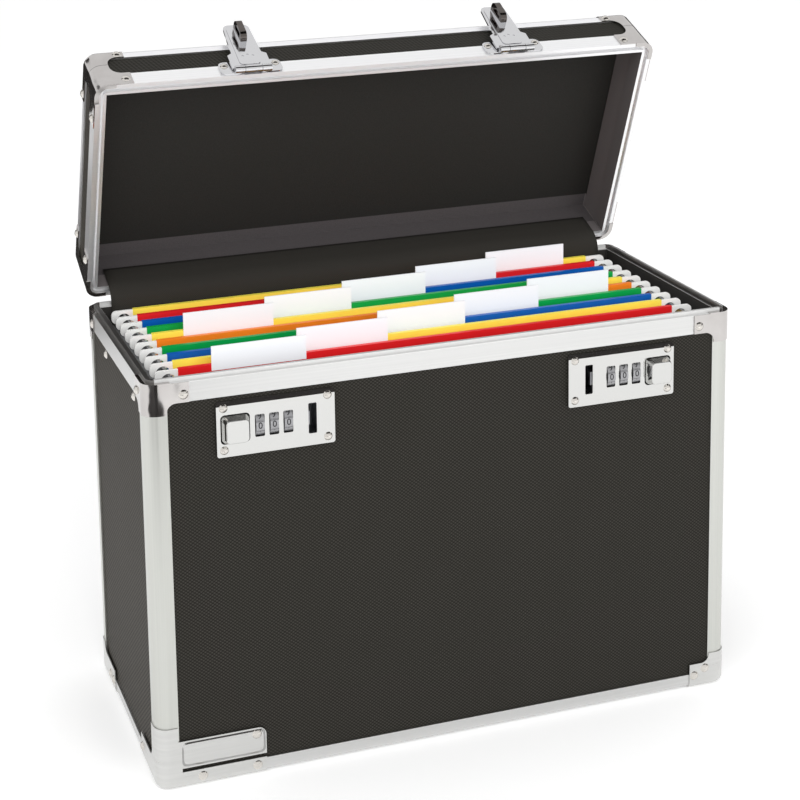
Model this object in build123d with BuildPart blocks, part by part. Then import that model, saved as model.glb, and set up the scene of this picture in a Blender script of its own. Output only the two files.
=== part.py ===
from build123d import *
import math
import os

os.makedirs("parts", exist_ok=True)

# Portable file box: a case of foil-covered board panels held in aluminium edge profiles, with sheet
# corner caps, two hasps that close on combination locks, and hanging files on two rails.
# Frame: origin on the floor under the middle of the whole outline, with the lid leaning open,
# +X to the right, +Y to the back, +Z up. Pieces are drawn about the middle of the body and moved
# forwards as they are written.
# The lid and all it carries are drawn in the closed position and turned open about the hinge.

# --- case ---
WIDTH = 385.0            # outside the side profiles
DEPTH = 166.0            # outside the front and back profiles
BODY_TOP = 256.0         # top of the body's rim, where the lid meets it
LID_TOP = 297.0          # top of the closed lid's profiles
LID_GAP = 1.2            # closed gap between the two rims
LID_OPEN = 67.5          # degrees between the closed lid and the lid as it stands
BODY_FORWARD = 16.5      # how far the body's middle is in front of the whole outline's middle
CORNER_R = 8.0           # upright corners
EDGE_R = 4.0             # long edges of the base and of the lid's top
SKIN = 1.0               # aluminium over a panel's face
PANEL = 4.0              # board panel
WALL = SKIN + PANEL      # from the outside to the panel's inner face
LINING = 1.0             # grey lining inside body and lid
CAP_SHEET = 0.7          # steel sheet of the corner caps, whose bases are the feet
MITRE_GAP = 0.1          # saw line between two lengths of a frame

# --- profiles ---
UPRIGHT_LEG = 13.5
POST_LEG = 10.0          # short uprights of the lid, hidden by its caps
SCREW_PORT_R = 1.8
BASE_FACE = 9.3
LID_FACE = 8.6
BODY_RIM_FACE = 12.2
LID_RIM_FACE = 12.4
RIM_THICK = 7.0
RIM_SLOT_DEPTH = 6.0     # how far a panel's edge goes up into a rim
LEDGE = 2.6              # rim face outside the tongue
TONGUE = 2.2
TONGUE_HIGH = 2.3
GROOVE_CLEAR = 0.2
GROOVE_DEEP = 2.5

# --- corner caps ---
TOP_CAP_REACH = 27.5     # along the front, from the corner
TOP_CAP_SIDE = 21.0      # along the side
TOP_CAP_DROP = 19.0      # down the corner
BASE_CAP_REACH = 27.5
BASE_CAP_SIDE = 44.0
BASE_CAP_FACE = 17.0
BASE_CAP_RISE = 23.0
CAP_BEND_R = 6.0         # round inner corner of a cap's outline
TRIM_SHEET = 0.5         # the cap's lip on the rim
TRIM_REACH = 15.5
LID_CAP_REACH = 25.0
LID_CAP_SIDE = 32.0
LID_CAP_LEG = 13.0       # width of a lid cap's upright leg
LID_CAP_SPLIT = 280.0    # height where the upper and lower caps of the lid meet
LID_CAP_BEND_R = 7.6
CAP_JOINT = 0.3          # gap between those two caps

# --- badge cap, front left of the base ---
BADGE_REACH = 68.5
BADGE_TOP = 31.0
BADGE_STEP_LOW = 11.0    # lower leg of the cap ends here
BADGE_STEP_HIGH = 13.4   # and the raised plate starts here
BADGE_SLOT_REACH = 15.5  # where the slot between them starts, from the corner
BADGE_RISE = 40.0
BADGE_R = 5.0

# --- rivets ---
RIVET_R = 1.5
RIVET_HEAD_R = 3.0
RIVET_HEAD_HIGH = 1.6
RIVET_GRIP = 3.4         # shank below a cap's face
RIVET_EDGE = 4.1         # from a cap's end to its rivet
CAP_RIVET_DOWN = 7.4     # from the rim's top to the rivets of the body's top caps
BASE_RIVET_UP = 9.1      # from the floor to the lower rivets of the base caps
LID_RIVET_IN = 5.5       # from the lid's top and rim to its cap rivets

# --- locks, mirror images about the middle ---
LOCK_IN = 77.0           # inner end of the plate, from the middle
LOCK_OUT = 150.3
LOCK_LOW = 207.1
LOCK_HIGH = 240.8
LOCK_PROUD = 3.0         # plate in front of the panel
LOCK_SHEET = 0.9
LOCK_TOP_BEVEL = 2.4
LOCK_R = 1.5
BOSS_R = 4.2
LOCK_RIVET_IN = 4.4      # rivet centre from the plate's ends
LOCK_RIVET_TOP = 3.5
LOCK_RIVET_LOW = 4.2
LOCK_RIVET_HEAD_R = 2.7
LOCK_MID_Z = 224.0       # centre line of windows, slot and button
SLOT_X = 91.0
SLOT_WIDE = 5.2
SLOT_HIGH = 19.0
WINDOW_WIDE = 6.0
WINDOW_HIGH = 13.8
DIAL_X = (106.2, 115.0, 123.8)
DIAL_R = 9.5
DIAL_WIDE = 5.2
DIAL_PROUD = 1.5
DIAL_BORE_CLEAR = 0.05
DIAL_DIGITS = 10
DIAL_GROOVE_R = 0.45
SHAFT_R = 2.0
BUTTON_X = 138.9
BUTTON = 17.6            # square base
BUTTON_FACE = 13.8
BUTTON_PROUD = 6.0
BUTTON_R = 2.6
BUTTON_CLEAR = 0.25
BUTTON_STEM = 15.0
BUTTON_TRAVEL = 2.5
BUTTON_EAR_HIGH = 20.0   # retaining ears above and below, behind the plate
BUTTON_EAR_WIDE = 6.0
BUTTON_EAR_THICK = 1.0
HOUSING_BACK = 16.5      # depth of the lock case behind the panel's face
HOUSING_HIGH = 26.0
HOUSING_IN = 84.6
HOUSING_OUT = 143.4
HOUSING_WALL = 1.0
BAY_OUT = 149.6          # the case's narrower bay behind the button
BAY_HIGH = 21.0
RIB = 1.2
RIB_X = (100.0, 127.8)   # ribs that carry the dial shaft
RIB_LOW = 217.0
BOLT_SHEET = 1.5
BOLT_TIP_IN = 1.2        # bolt tip standing in the slot
BOLT_TIP_HIGH = 8.5
BOLT_DEEP = 2.6
BOLT_TRAVEL = 1.8
BOLT_PEG_R = 1.0
CAM_CLEAR = 0.3

# --- hasps, drawn latched ---
HASP_X = 91.0
HASP_BASE_WIDE = 41.0
HASP_BASE_HIGH = 14.0
HASP_BASE_SHEET = 1.2
HASP_RIVET_X = 17.0
HASP_RIVET_UP = 9.8
HASP_AXIS_OUT = 3.6      # hinge line in front of the lid's face
HASP_AXIS_UP = 1.3       # and above the lid's lower edge
HASP_KNUCKLE_R = 2.4
HASP_PIN_R = 1.1
HASP_BARREL = 24.0
HASP_MIDDLE = 11.0
HASP_PLAY = 0.3
HASP_SHEET = 1.4
HASP_LONG = 47.5
HASP_SHOULDER = 26.0
HASP_SHOULDER_LONG = 16.0
HASP_NECK = 20.0
HASP_TIP = 17.0
HASP_STRIP = 14.0
HASP_STRIP_THICK = 0.6
HASP_FOLD = 174.0        # degrees from latched to folded back
STAPLE_LONG = 18.0
STAPLE_OUT = 8.0
STAPLE_THICK = 4.2
STAPLE_R = 4.4
STAPLE_EYE_LONG = 11.0
STAPLE_EYE_LOW = 2.7
STAPLE_EYE_HIGH = 3.6
DIMPLE_R = 0.8
DIMPLE_GAP = 3.4

# --- back hinge ---
HINGE_OUT = 4.5          # hinge line behind the back face
HINGE_END_CLEAR = 2.0    # from the body's top caps
HINGE_LONG = WIDTH - 2 * (TOP_CAP_REACH + HINGE_END_CLEAR)
HINGE_LEAF = 1.2
HINGE_LEAF_HIGH = 10.5
HINGE_KNUCKLE_R = 2.8
HINGE_PIN_R = 1.2
HINGE_KNUCKLES = 11
HINGE_PLAY = 0.3
HINGE_RIVETS = 6
HINGE_RIVET_END = 14.75  # from the hinge's ends to their rivets
HINGE_RIVET_PITCH = (HINGE_LONG - 2 * HINGE_RIVET_END) / (HINGE_RIVETS - 1)
FLAP_SIDE_CLEAR = 8.5    # from the lining of the side walls
FLAP_LONG = WIDTH - 2 * (WALL + LINING + FLAP_SIDE_CLEAR)
FLAP_THICK = 0.8
FLAP_LAP = 15.0          # glued lap on each lining

# --- handle on the lid ---
HANDLE_Y = -12.0         # pivot line
HANDLE_UP = 8.0          # pivot line above the top panel
HANDLE_GRIP = 112.0
HANDLE_ARM = 6.0
HANDLE_ARM_WIDE = 12.0
HANDLE_REACH = 34.0
HANDLE_GRIP_WIDE = 17.0
HANDLE_GRIP_THICK = 12.0
HANDLE_GRIP_R = 5.0
HANDLE_PIN_R = 2.2
HANDLE_SIDE_PLAY = 0.4
BRACKET_SHEET = 1.5
BRACKET_CHEEK = 3.0
BRACKET_LONG = 26.0
BRACKET_FOOT = 14.0

# --- hanging files ---
FILE_COUNT = 10
FILE_BACK_CLEAR = 7.1    # from the back lining to the middle of the rearmost bar
FILE_FRONT_CLEAR = 22.7  # from the frontmost bar to the front lining, where fingers reach in
FILE_BACK_Y = DEPTH / 2 - WALL - LINING - FILE_BACK_CLEAR
FILE_PITCH = (DEPTH - 2 * (WALL + LINING) - FILE_BACK_CLEAR - FILE_FRONT_CLEAR) / (FILE_COUNT - 1)
FILE_BAR_TOP = 254.0
FILE_BAR_HIGH = 8.4
FILE_BAR_THICK = 1.8
FILE_BAR_CLEAR = 7.0     # from a bar's ends to the lining
FILE_BAR_LONG = WIDTH - 2 * (WALL + LINING + FILE_BAR_CLEAR)
FILE_BAR_R = 3.0
FILE_HOOK_IN = 8.2       # from a bar's end to its notch
FILE_HOOK_X = FILE_BAR_LONG / 2 - FILE_HOOK_IN
FILE_HOOK_R = 4.5
FILE_HOOK_ROOF = 252.0
FILE_RAIL_CLEAR = 6.3    # from the notch to the folder's edge
FILE_WIDE = 2 * (FILE_HOOK_X - FILE_RAIL_CLEAR)
FILE_LOW = 18.0
FILE_BOARD = 0.7
FILE_POCKET = 6.6
FILE_MOUTH = 244.0
FILE_SLEEVE = 3.0
FILE_SLEEVE_CAP = 0.5    # fold of the folder above the bar
FILE_SLEEVE_CLEAR = 0.05
TAB_WIDE = 59.5
TAB_LOW = 251.0
TAB_TOP = 266.0
TAB_THICK = 1.2
TAB_PLACES = 5
TAB_MARGIN = 40.0        # of the folder's width, left free by the tab places
TAB_STEP = (FILE_WIDE - TAB_MARGIN) / TAB_PLACES
TAB_EDGE = 48.0          # from the folder's right edge to the middle of its first tab place
TAB_FIRST_X = FILE_WIDE / 2 - TAB_EDGE
RAIL_SHEET = 1.0
RAIL_LIP = 1.5
RAIL_SEAT_GAP = 0.3
RAIL_SHELF_Z = 242.4
RAIL_FLANGE = 12.4
RAIL_RIVET_DOWN = 4.4
RAIL_RIVET_Y = (-50.0, 31.0)

# --- levels worked out from them ---
BASE_LOW = CAP_SHEET
FLOOR_BOARD = BASE_LOW + WALL
LID_LOW = BODY_TOP + LID_GAP
LID_CEILING = LID_TOP - WALL
HINGE_Y = DEPTH / 2 + HINGE_OUT
HINGE_Z = BODY_TOP + LID_GAP / 2
LID_AXIS = Axis((0, HINGE_Y, HINGE_Z), (1, 0, 0))
CORNERS = [(sx, sy) for sx in (-1, 1) for sy in (-1, 1)]
PANEL_FACE_Y = -DEPTH / 2 + SKIN
UP = Vector(0, 0, 1)
DOWN = Vector(0, 0, -1)
FAR = 2 * (WIDTH + DEPTH)


# --- small details ---
SCREW_PORT_IN = 4.3      # a screw port's middle, inside both faces of an upright
BADGE_RIVET_IN = 1.6 * RIVET_EDGE    # from the end of the wide cap to its outer rivets
BADGE_RIVET_UP = 1 + BADGE_STEP_LOW / 2
BASE_RIVET_STEP = 1.9 * RIVET_EDGE   # between a base cap's two front rivets
SIDE_RIVET_STEP = 2.2 * RIVET_EDGE   # between a base cap's two side rivets
PIN_CLEAR = 0.05         # between a pin and the barrel that turns on it
BUTTON_EDGE_R = 0.5
STEM_SHORT = 1.0         # room left behind a pressed button's stem
CAM_HIGH = 2.5           # slanted groove in the stem's foot
PEG_BEHIND = 1.0         # bolt's peg behind the dials' axis
STRIP_PAST_PEG = 2.0
FINGER_SET_BACK = 1.2    # latching tip ahead of the finger that carries it
FLAP_HEM = 2.0           # flap's end past the rim
HASP_BASE_UP = 0.4       # base plate's middle above the middle of the rim strip
BARREL_ROOM = 0.5        # base plate cut away round the turning knuckle
HASP_CORNER_R = 4.0
HASP_SHOULDER_SLOPE = 2.0
HASP_STRIP_TOP = 3.0     # strip's end below the knuckle
HASP_STRIP_TIP = 2.0     # strip's end above the tip
HASP_STRIP_R = 3.0
STAPLE_EYE_R = 1.2
DIMPLE_UP = 1.0          # middle dimple above the shoulders' end
DIMPLE_RISE = 1.2        # outer dimples above the middle one
BRACKET_R = 4.0          # corners of a handle bracket's foot


def save(pieces, label):
    """Name a piece or group, move it to its place about the whole outline's middle, and write it."""
    solids = [solid.moved(Location((0, -BODY_FORWARD, 0))) for solid in pieces.solids()]
    placed = solids[0] if len(solids) == 1 else Compound(solids)
    placed.label = label
    export_step(placed, f"parts/{label}.step")


def save_in_lid(piece, label):
    """Turn a piece drawn in the closed lid to where the open lid carries it, and write it."""
    save(piece.rotate(LID_AXIS, -LID_OPEN), label)


def front_seat(x, z, proud):
    """A place on the front, with its normal outwards, proud of the profiles."""
    return Plane((x, -DEPTH / 2 - proud, z), x_dir=(1, 0, 0), z_dir=(0, -1, 0)).location


def back_seat(x, z, proud):
    """A place on the back, with its normal outwards, proud of the profiles."""
    return Plane((x, DEPTH / 2 + proud, z), x_dir=(-1, 0, 0), z_dir=(0, 1, 0)).location


def side_seat(side, y, z, proud):
    """A place on the left (-1) or right (+1) side, with its normal outwards."""
    return Plane((side * (WIDTH / 2 + proud), y, z), x_dir=(0, side, 0), z_dir=(side, 0, 0)).location


def rivet(head_r, grip):
    """One rivet with a domed head above its seat and a shank of the given length below."""
    dome_r = (head_r ** 2 + RIVET_HEAD_HIGH ** 2) / (2 * RIVET_HEAD_HIGH)
    with BuildPart() as form:
        with Locations((0, 0, RIVET_HEAD_HIGH - dome_r)):
            Sphere(dome_r)
        Cylinder(dome_r, RIVET_HEAD_HIGH, align=(Align.CENTER, Align.CENTER, Align.MIN), mode=Mode.INTERSECT)
        Cylinder(RIVET_R, grip, align=(Align.CENTER, Align.CENTER, Align.MAX))
    return form.part


def drill(seats, deep):
    """Cut the shank holes of a set of rivets from the piece being built."""
    with Locations(*seats):
        Cylinder(RIVET_R, 2 * deep, mode=Mode.SUBTRACT)


def mitre(level, tall):
    """Part a rectangular frame into its four mitred lengths."""
    for sx, sy in CORNERS:
        with Locations(Location((sx * WIDTH / 2, sy * DEPTH / 2, level), (0, 0, 45 * sx * sy))):
            Box(6 * CORNER_R, MITRE_GAP, tall, mode=Mode.SUBTRACT)


def edge_frame(level, up, face, seats, grip):
    """Four profiles round the base (up) or the lid's top (down): a seat for the flat panel,
    a rounded outer edge and a leg over the walls' faces."""
    plane = Plane((0, 0, level), x_dir=(1, 0, 0), z_dir=up)
    with BuildPart() as frame:
        with BuildSketch(plane):
            RectangleRounded(WIDTH, DEPTH, CORNER_R)
        extrude(amount=face)
        fillet(frame.edges().group_by(Axis((0, 0, 0), up))[0], EDGE_R)
        with BuildSketch(plane.offset(WALL)):
            RectangleRounded(WIDTH - 2 * SKIN, DEPTH - 2 * SKIN, CORNER_R - SKIN)
        extrude(amount=face - WALL, mode=Mode.SUBTRACT)
        with BuildSketch(plane.offset(SKIN)):
            Rectangle(WIDTH - 2 * WALL, DEPTH - 2 * WALL)
        extrude(amount=PANEL, mode=Mode.SUBTRACT)
        with BuildSketch(plane):
            Rectangle(WIDTH - 2 * face, DEPTH - 2 * face)
        extrude(amount=SKIN, mode=Mode.SUBTRACT)
        mitre(level, 3 * face)
        drill(seats, grip)
    return frame.part


def rim_frame(level, up, face, seats, grip):
    """Four rim profiles, solid at the mouth and slotted for the panels' edges."""
    plane = Plane((0, 0, level), x_dir=(1, 0, 0), z_dir=up)
    with BuildPart() as frame:
        with BuildSketch(plane):
            RectangleRounded(WIDTH, DEPTH, CORNER_R)
            Rectangle(WIDTH - 2 * RIM_THICK, DEPTH - 2 * RIM_THICK, mode=Mode.SUBTRACT)
        extrude(amount=face)
        with BuildSketch(plane.offset(face - RIM_SLOT_DEPTH)):
            RectangleRounded(WIDTH - 2 * SKIN, DEPTH - 2 * SKIN, CORNER_R - SKIN)
            Rectangle(WIDTH - 2 * WALL, DEPTH - 2 * WALL, mode=Mode.SUBTRACT)
        extrude(amount=RIM_SLOT_DEPTH, mode=Mode.SUBTRACT)
        if up == DOWN:
            with BuildSketch(plane):
                rim_band(LEDGE, LEDGE + TONGUE)
            extrude(amount=-TONGUE_HIGH)
        else:
            with BuildSketch(plane):
                rim_band(LEDGE - GROOVE_CLEAR, LEDGE + TONGUE + GROOVE_CLEAR)
            extrude(amount=GROOVE_DEEP, mode=Mode.SUBTRACT)
        mitre(level, 3 * face)
        drill(seats, grip)
    return frame.part


def rim_band(outer, inner):
    """The band of a rim between two distances from the outside."""
    RectangleRounded(WIDTH - 2 * outer, DEPTH - 2 * outer, CORNER_R - outer)
    RectangleRounded(WIDTH - 2 * inner, DEPTH - 2 * inner, CORNER_R - inner, mode=Mode.SUBTRACT)


def corner_posts(low, high, leg):
    """Four upright profiles: a rounded corner with a screw port and two legs over the panels."""
    with BuildPart() as posts:
        with BuildSketch(Plane.XY.offset(low)):
            RectangleRounded(WIDTH, DEPTH, CORNER_R)
            Rectangle(WIDTH - 2 * WALL, DEPTH - 2 * WALL, mode=Mode.SUBTRACT)
            Rectangle(WIDTH - 2 * CORNER_R, DEPTH - 2 * SKIN, mode=Mode.SUBTRACT)
            Rectangle(WIDTH - 2 * SKIN, DEPTH - 2 * CORNER_R, mode=Mode.SUBTRACT)
            Rectangle(WIDTH - 2 * leg, DEPTH, mode=Mode.SUBTRACT)
            Rectangle(WIDTH, DEPTH - 2 * leg, mode=Mode.SUBTRACT)
            port = SCREW_PORT_IN
            with GridLocations(WIDTH - 2 * port, DEPTH - 2 * port, 2, 2):
                Circle(SCREW_PORT_R, mode=Mode.SUBTRACT)
        extrude(amount=high - low)
    return posts.part


def core_block(grow, low, high, up):
    """The case's outline grown all round, its end towards `up` reversed rounded like the edges."""
    with BuildPart() as core:
        with BuildSketch(Plane.XY.offset(low)):
            RectangleRounded(WIDTH + 2 * grow, DEPTH + 2 * grow, CORNER_R + grow)
        extrude(amount=high - low)
        fillet(core.edges().group_by(Axis((0, 0, 0), up))[0], EDGE_R + grow)
    return core.part


def cap_outline(half, reach, leg, end, bend, edge, bend_r):
    """Outline of a cap on one face, mirrored to the other corner: a leg along the frame from the
    corner to `reach`, between the levels `end` and `bend`, and an upright leg on to `edge`."""
    with BuildSketch() as outline:
        with BuildLine():
            Polyline(
                (half, end),
                (half - reach, end),
                (half - reach, bend),
                (half - leg, bend),
                (half - leg, edge),
                (half, edge),
                close=True,
            )
        make_face()
        room = min(abs(edge - bend), reach - leg) - CAP_SHEET / 2
        fillet(outline.vertices().sort_by_distance((half - leg, bend))[0], min(bend_r, room))
        mirror(about=Plane.YZ)
    return outline.sketch


# === body: panels ===
cap_row = BODY_TOP - CAP_RIVET_DOWN
top_rivet_x = WIDTH / 2 - TOP_CAP_REACH + RIVET_EDGE
top_rivet_y = DEPTH / 2 - TOP_CAP_SIDE + RIVET_EDGE
base_rivet_x = WIDTH / 2 - BASE_CAP_REACH + RIVET_EDGE
base_rivet_y = DEPTH / 2 - BASE_CAP_SIDE + RIVET_EDGE
base_seats = []
badge_seats = [
    front_seat(-WIDTH / 2 + BADGE_REACH - BADGE_RIVET_IN, BADGE_TOP - RIVET_EDGE, CAP_SHEET),
    front_seat(-WIDTH / 2 + BADGE_REACH - BADGE_RIVET_IN, BADGE_RIVET_UP, CAP_SHEET),
    front_seat(-WIDTH / 2 + BASE_CAP_REACH, BADGE_RIVET_UP, CAP_SHEET),
    side_seat(-1, -base_rivet_y, BASE_RIVET_UP, CAP_SHEET),
]
for sx, sy in CORNERS:
    if (sx, sy) != (-1, -1):
        seat = front_seat if sy < 0 else back_seat
        base_seats.append(seat(sx * base_rivet_x, BASE_RIVET_UP, CAP_SHEET))
        base_seats.append(seat(sx * (base_rivet_x + BASE_RIVET_STEP), BASE_RIVET_UP + RIVET_EDGE, CAP_SHEET))
        base_seats.append(side_seat(sx, sy * base_rivet_y, BASE_RIVET_UP, CAP_SHEET))
        base_seats.append(side_seat(sx, sy * (base_rivet_y + SIDE_RIVET_STEP), BASE_RIVET_UP, CAP_SHEET))
top_seats = []
for sx, sy in CORNERS:
    seat = front_seat if sy < 0 else back_seat
    top_seats.append(seat(sx * top_rivet_x, cap_row, CAP_SHEET))
    top_seats.append(side_seat(sx, sy * top_rivet_y, cap_row, CAP_SHEET))
cap_seats = base_seats + badge_seats + top_seats
cap_grip = CAP_SHEET + RIVET_GRIP

rail_row = RAIL_SHELF_Z + RAIL_SHEET - RAIL_RIVET_DOWN
rail_seats = [side_seat(side, y, rail_row, -SKIN) for side in (-1, 1) for y in RAIL_RIVET_Y]
rail_grip = PANEL + LINING + RAIL_SHEET

lock_face_y = LOCK_PROUD - SKIN
lock_rivet_z = (LOCK_LOW + LOCK_RIVET_LOW, LOCK_HIGH - LOCK_RIVET_TOP)
lock_seats = [
    front_seat(side * x, z, lock_face_y)
    for side in (-1, 1)
    for x in (LOCK_IN + LOCK_RIVET_IN, LOCK_OUT - LOCK_RIVET_IN)
    for z in lock_rivet_z
]
lock_grip = LOCK_PROUD + PANEL

hinge_xs = [(i - (HINGE_RIVETS - 1) / 2) * HINGE_RIVET_PITCH for i in range(HINGE_RIVETS)]
leaf_top = BODY_TOP + LID_GAP / 2 - HINGE_KNUCKLE_R + HINGE_LEAF
hinge_body_seats = [back_seat(x, leaf_top - HINGE_LEAF_HIGH / 2, HINGE_LEAF) for x in hinge_xs]
hinge_grip = HINGE_LEAF + RIVET_GRIP


def lock_hole(grow):
    """Outline of the lock case in the front panel, on both sides of the middle."""
    high = HOUSING_HIGH + 2 * grow
    bay = BAY_HIGH + 2 * grow
    for side in (-1, 1):
        with Locations((side * (HOUSING_IN + HOUSING_OUT) / 2, LOCK_MID_Z)):
            Rectangle(HOUSING_OUT - HOUSING_IN + 2 * grow, high)
        with Locations((side * (BAY_OUT + BUTTON_X) / 2, LOCK_MID_Z)):
            Rectangle(BAY_OUT - BUTTON_X + 2 * grow, bay)


panel_top = BODY_TOP - BODY_RIM_FACE + RIM_SLOT_DEPTH
panel_high = panel_top - FLOOR_BOARD
panel_mid = (panel_top + FLOOR_BOARD) / 2
face_y = DEPTH / 2 - SKIN - PANEL / 2
side_x = WIDTH / 2 - SKIN - PANEL / 2

with BuildPart() as front_panel:
    with Locations((0, -face_y, panel_mid)):
        Box(WIDTH - 2 * CORNER_R, PANEL, panel_high)
    with BuildSketch(Plane.XZ):
        lock_hole(0)
    extrude(amount=DEPTH, mode=Mode.SUBTRACT)
    drill(cap_seats, cap_grip)
    drill(lock_seats, lock_grip)
save(front_panel.part, "front_panel")

with BuildPart() as back_panel:
    with Locations((0, face_y, panel_mid)):
        Box(WIDTH - 2 * CORNER_R, PANEL, panel_high)
    drill(cap_seats, cap_grip)
    drill(hinge_body_seats, hinge_grip)
save(back_panel.part, "back_panel")

with BuildPart() as side_panels:
    for side in (-1, 1):
        with Locations((side * side_x, 0, panel_mid)):
            Box(PANEL, DEPTH - 2 * CORNER_R, panel_high)
    drill(cap_seats, cap_grip)
    drill(rail_seats, rail_grip)
save(side_panels.part, "side_panels")

with BuildPart() as bottom_panel:
    with Locations((0, 0, BASE_LOW + SKIN + PANEL / 2)):
        Box(WIDTH - 2 * WALL, DEPTH - 2 * WALL, PANEL)
save(bottom_panel.part, "bottom_panel")

# === body: aluminium profiles ===
save(edge_frame(BASE_LOW, UP, BASE_FACE, cap_seats, cap_grip), "base_profiles")
save(corner_posts(BASE_LOW + BASE_FACE, BODY_TOP - BODY_RIM_FACE, UPRIGHT_LEG), "upright_profiles")
save(rim_frame(BODY_TOP, DOWN, BODY_RIM_FACE, cap_seats + hinge_body_seats, hinge_grip), "body_rim")

# === body: lining of thin grey foil, glued to the panels ===
with BuildPart() as body_lining:
    with BuildSketch(Plane.XY.offset(FLOOR_BOARD)):
        Rectangle(WIDTH - 2 * WALL, DEPTH - 2 * WALL)
    extrude(amount=BODY_TOP - BODY_RIM_FACE - FLOOR_BOARD)
    with BuildSketch(Plane.XY.offset(FLOOR_BOARD + LINING)):
        Rectangle(WIDTH - 2 * WALL - 2 * LINING, DEPTH - 2 * WALL - 2 * LINING)
    extrude(amount=BODY_TOP, mode=Mode.SUBTRACT)
    with BuildSketch(Plane.XZ):
        lock_hole(0)
    extrude(amount=DEPTH, mode=Mode.SUBTRACT)
    drill(rail_seats, rail_grip)
save(body_lining.part, "body_lining")

# === body: caps on the four upper corners ===
with BuildPart() as body_top_caps:
    with BuildSketch(Plane.XY.offset(BODY_TOP - TOP_CAP_DROP)):
        RectangleRounded(WIDTH + 2 * CAP_SHEET, DEPTH + 2 * CAP_SHEET, CORNER_R + CAP_SHEET)
        RectangleRounded(WIDTH, DEPTH, CORNER_R, mode=Mode.SUBTRACT)
    extrude(amount=TOP_CAP_DROP)
    top_cap_half = WIDTH / 2 + CAP_SHEET
    top_cap_half_y = DEPTH / 2 + CAP_SHEET
    rim_foot = BODY_TOP - BODY_RIM_FACE
    cap_foot = BODY_TOP - TOP_CAP_DROP
    with BuildSketch(Plane.XZ):
        add(cap_outline(top_cap_half, TOP_CAP_REACH, UPRIGHT_LEG, BODY_TOP, rim_foot, cap_foot, CAP_BEND_R))
    extrude(amount=DEPTH, both=True, mode=Mode.INTERSECT)
    with BuildSketch(Plane.YZ):
        add(cap_outline(top_cap_half_y, TOP_CAP_SIDE, UPRIGHT_LEG, BODY_TOP, rim_foot, cap_foot, CAP_BEND_R))
    extrude(amount=WIDTH, both=True, mode=Mode.INTERSECT)
    # the lip that laps each corner of the rim
    with BuildSketch(Plane.XY.offset(BODY_TOP)):
        rim_band(-CAP_SHEET, LEDGE - GROOVE_CLEAR)
        Rectangle(WIDTH - 2 * TRIM_REACH, 2 * DEPTH, mode=Mode.SUBTRACT)
        Rectangle(2 * WIDTH, DEPTH - 2 * TOP_CAP_SIDE, mode=Mode.SUBTRACT)
    extrude(amount=TRIM_SHEET)
    drill(cap_seats, cap_grip)
save(body_top_caps.part, "body_top_caps")

# === body: caps on the lower corners, three alike and the badge cap ===
base_core = core_block(0, BASE_LOW, BODY_TOP, UP)
base_skin = core_block(CAP_SHEET, BASE_LOW - CAP_SHEET, BADGE_RISE, UP)
base_half = WIDTH / 2 + CAP_SHEET
base_half_y = DEPTH / 2 + CAP_SHEET

with BuildPart() as base_caps:
    add(base_skin)
    add(base_core, mode=Mode.SUBTRACT)
    with BuildSketch(Plane.XZ):
        add(cap_outline(base_half, BASE_CAP_REACH, UPRIGHT_LEG, 0, BASE_CAP_FACE, BASE_CAP_RISE, CAP_BEND_R))
    extrude(amount=DEPTH, both=True, mode=Mode.INTERSECT)
    with BuildSketch(Plane.YZ):
        add(cap_outline(base_half_y, BASE_CAP_SIDE, UPRIGHT_LEG, 0, BASE_CAP_FACE, BASE_CAP_RISE, CAP_BEND_R))
    extrude(amount=WIDTH, both=True, mode=Mode.INTERSECT)
    with BuildSketch(Plane.XY):
        add(cap_outline(base_half, BASE_CAP_REACH, BASE_FACE, base_half_y, base_half_y - BASE_FACE,
                    base_half_y - BASE_CAP_SIDE, CAP_BEND_R))
        mirror(about=Plane.XZ)
    extrude(amount=BADGE_RISE, mode=Mode.INTERSECT)
    with Locations((-FAR / 2, -FAR / 2, 0)):
        Box(FAR, FAR, FAR, mode=Mode.SUBTRACT)
    drill(base_seats, cap_grip)
save(base_caps.part, "base_caps")

with BuildPart() as badge_cap:
    add(base_skin)
    add(base_core, mode=Mode.SUBTRACT)
    # front outline: raised name plate, left bare, above a narrow foot leg
    with BuildSketch(Plane.XZ):
        with BuildLine():
            Polyline(
                (-base_half, 0),
                (BADGE_REACH - base_half, 0),
                (BADGE_REACH - base_half, BADGE_STEP_LOW),
                (BADGE_SLOT_REACH - base_half, BADGE_STEP_LOW),
                (BADGE_SLOT_REACH - base_half, BADGE_STEP_HIGH),
                (BADGE_REACH - base_half, BADGE_STEP_HIGH),
                (BADGE_REACH - base_half, BADGE_TOP),
                (-base_half, BADGE_TOP),
                close=True,
            )
        make_face()
        plate_end = vertices().sort_by_distance((BADGE_REACH - base_half, BADGE_TOP))[0]
        fillet(plate_end, BADGE_R)
        with Locations((-base_half, 0)):
            Rectangle(UPRIGHT_LEG, BADGE_RISE, align=(Align.MIN, Align.MIN))
    extrude(amount=DEPTH, both=True, mode=Mode.INTERSECT)
    with BuildSketch(Plane.YZ):
        add(cap_outline(base_half_y, BASE_CAP_SIDE, UPRIGHT_LEG, 0, BASE_CAP_FACE, BADGE_RISE, CAP_BEND_R))
    extrude(amount=WIDTH, both=True, mode=Mode.INTERSECT)
    with BuildSketch(Plane.XY):
        add(cap_outline(base_half, BADGE_REACH, BASE_FACE, base_half_y, base_half_y - BASE_FACE,
                    base_half_y - BASE_CAP_SIDE, CAP_BEND_R))
        mirror(about=Plane.XZ)
    extrude(amount=BADGE_RISE, mode=Mode.INTERSECT)
    with Locations((-FAR / 2, FAR / 2, 0), (FAR / 2, -FAR / 2, 0), (FAR / 2, FAR / 2, 0)):
        Box(FAR, FAR, FAR, mode=Mode.SUBTRACT)
    drill(badge_seats, cap_grip)
save(badge_cap.part, "badge_cap")

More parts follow.
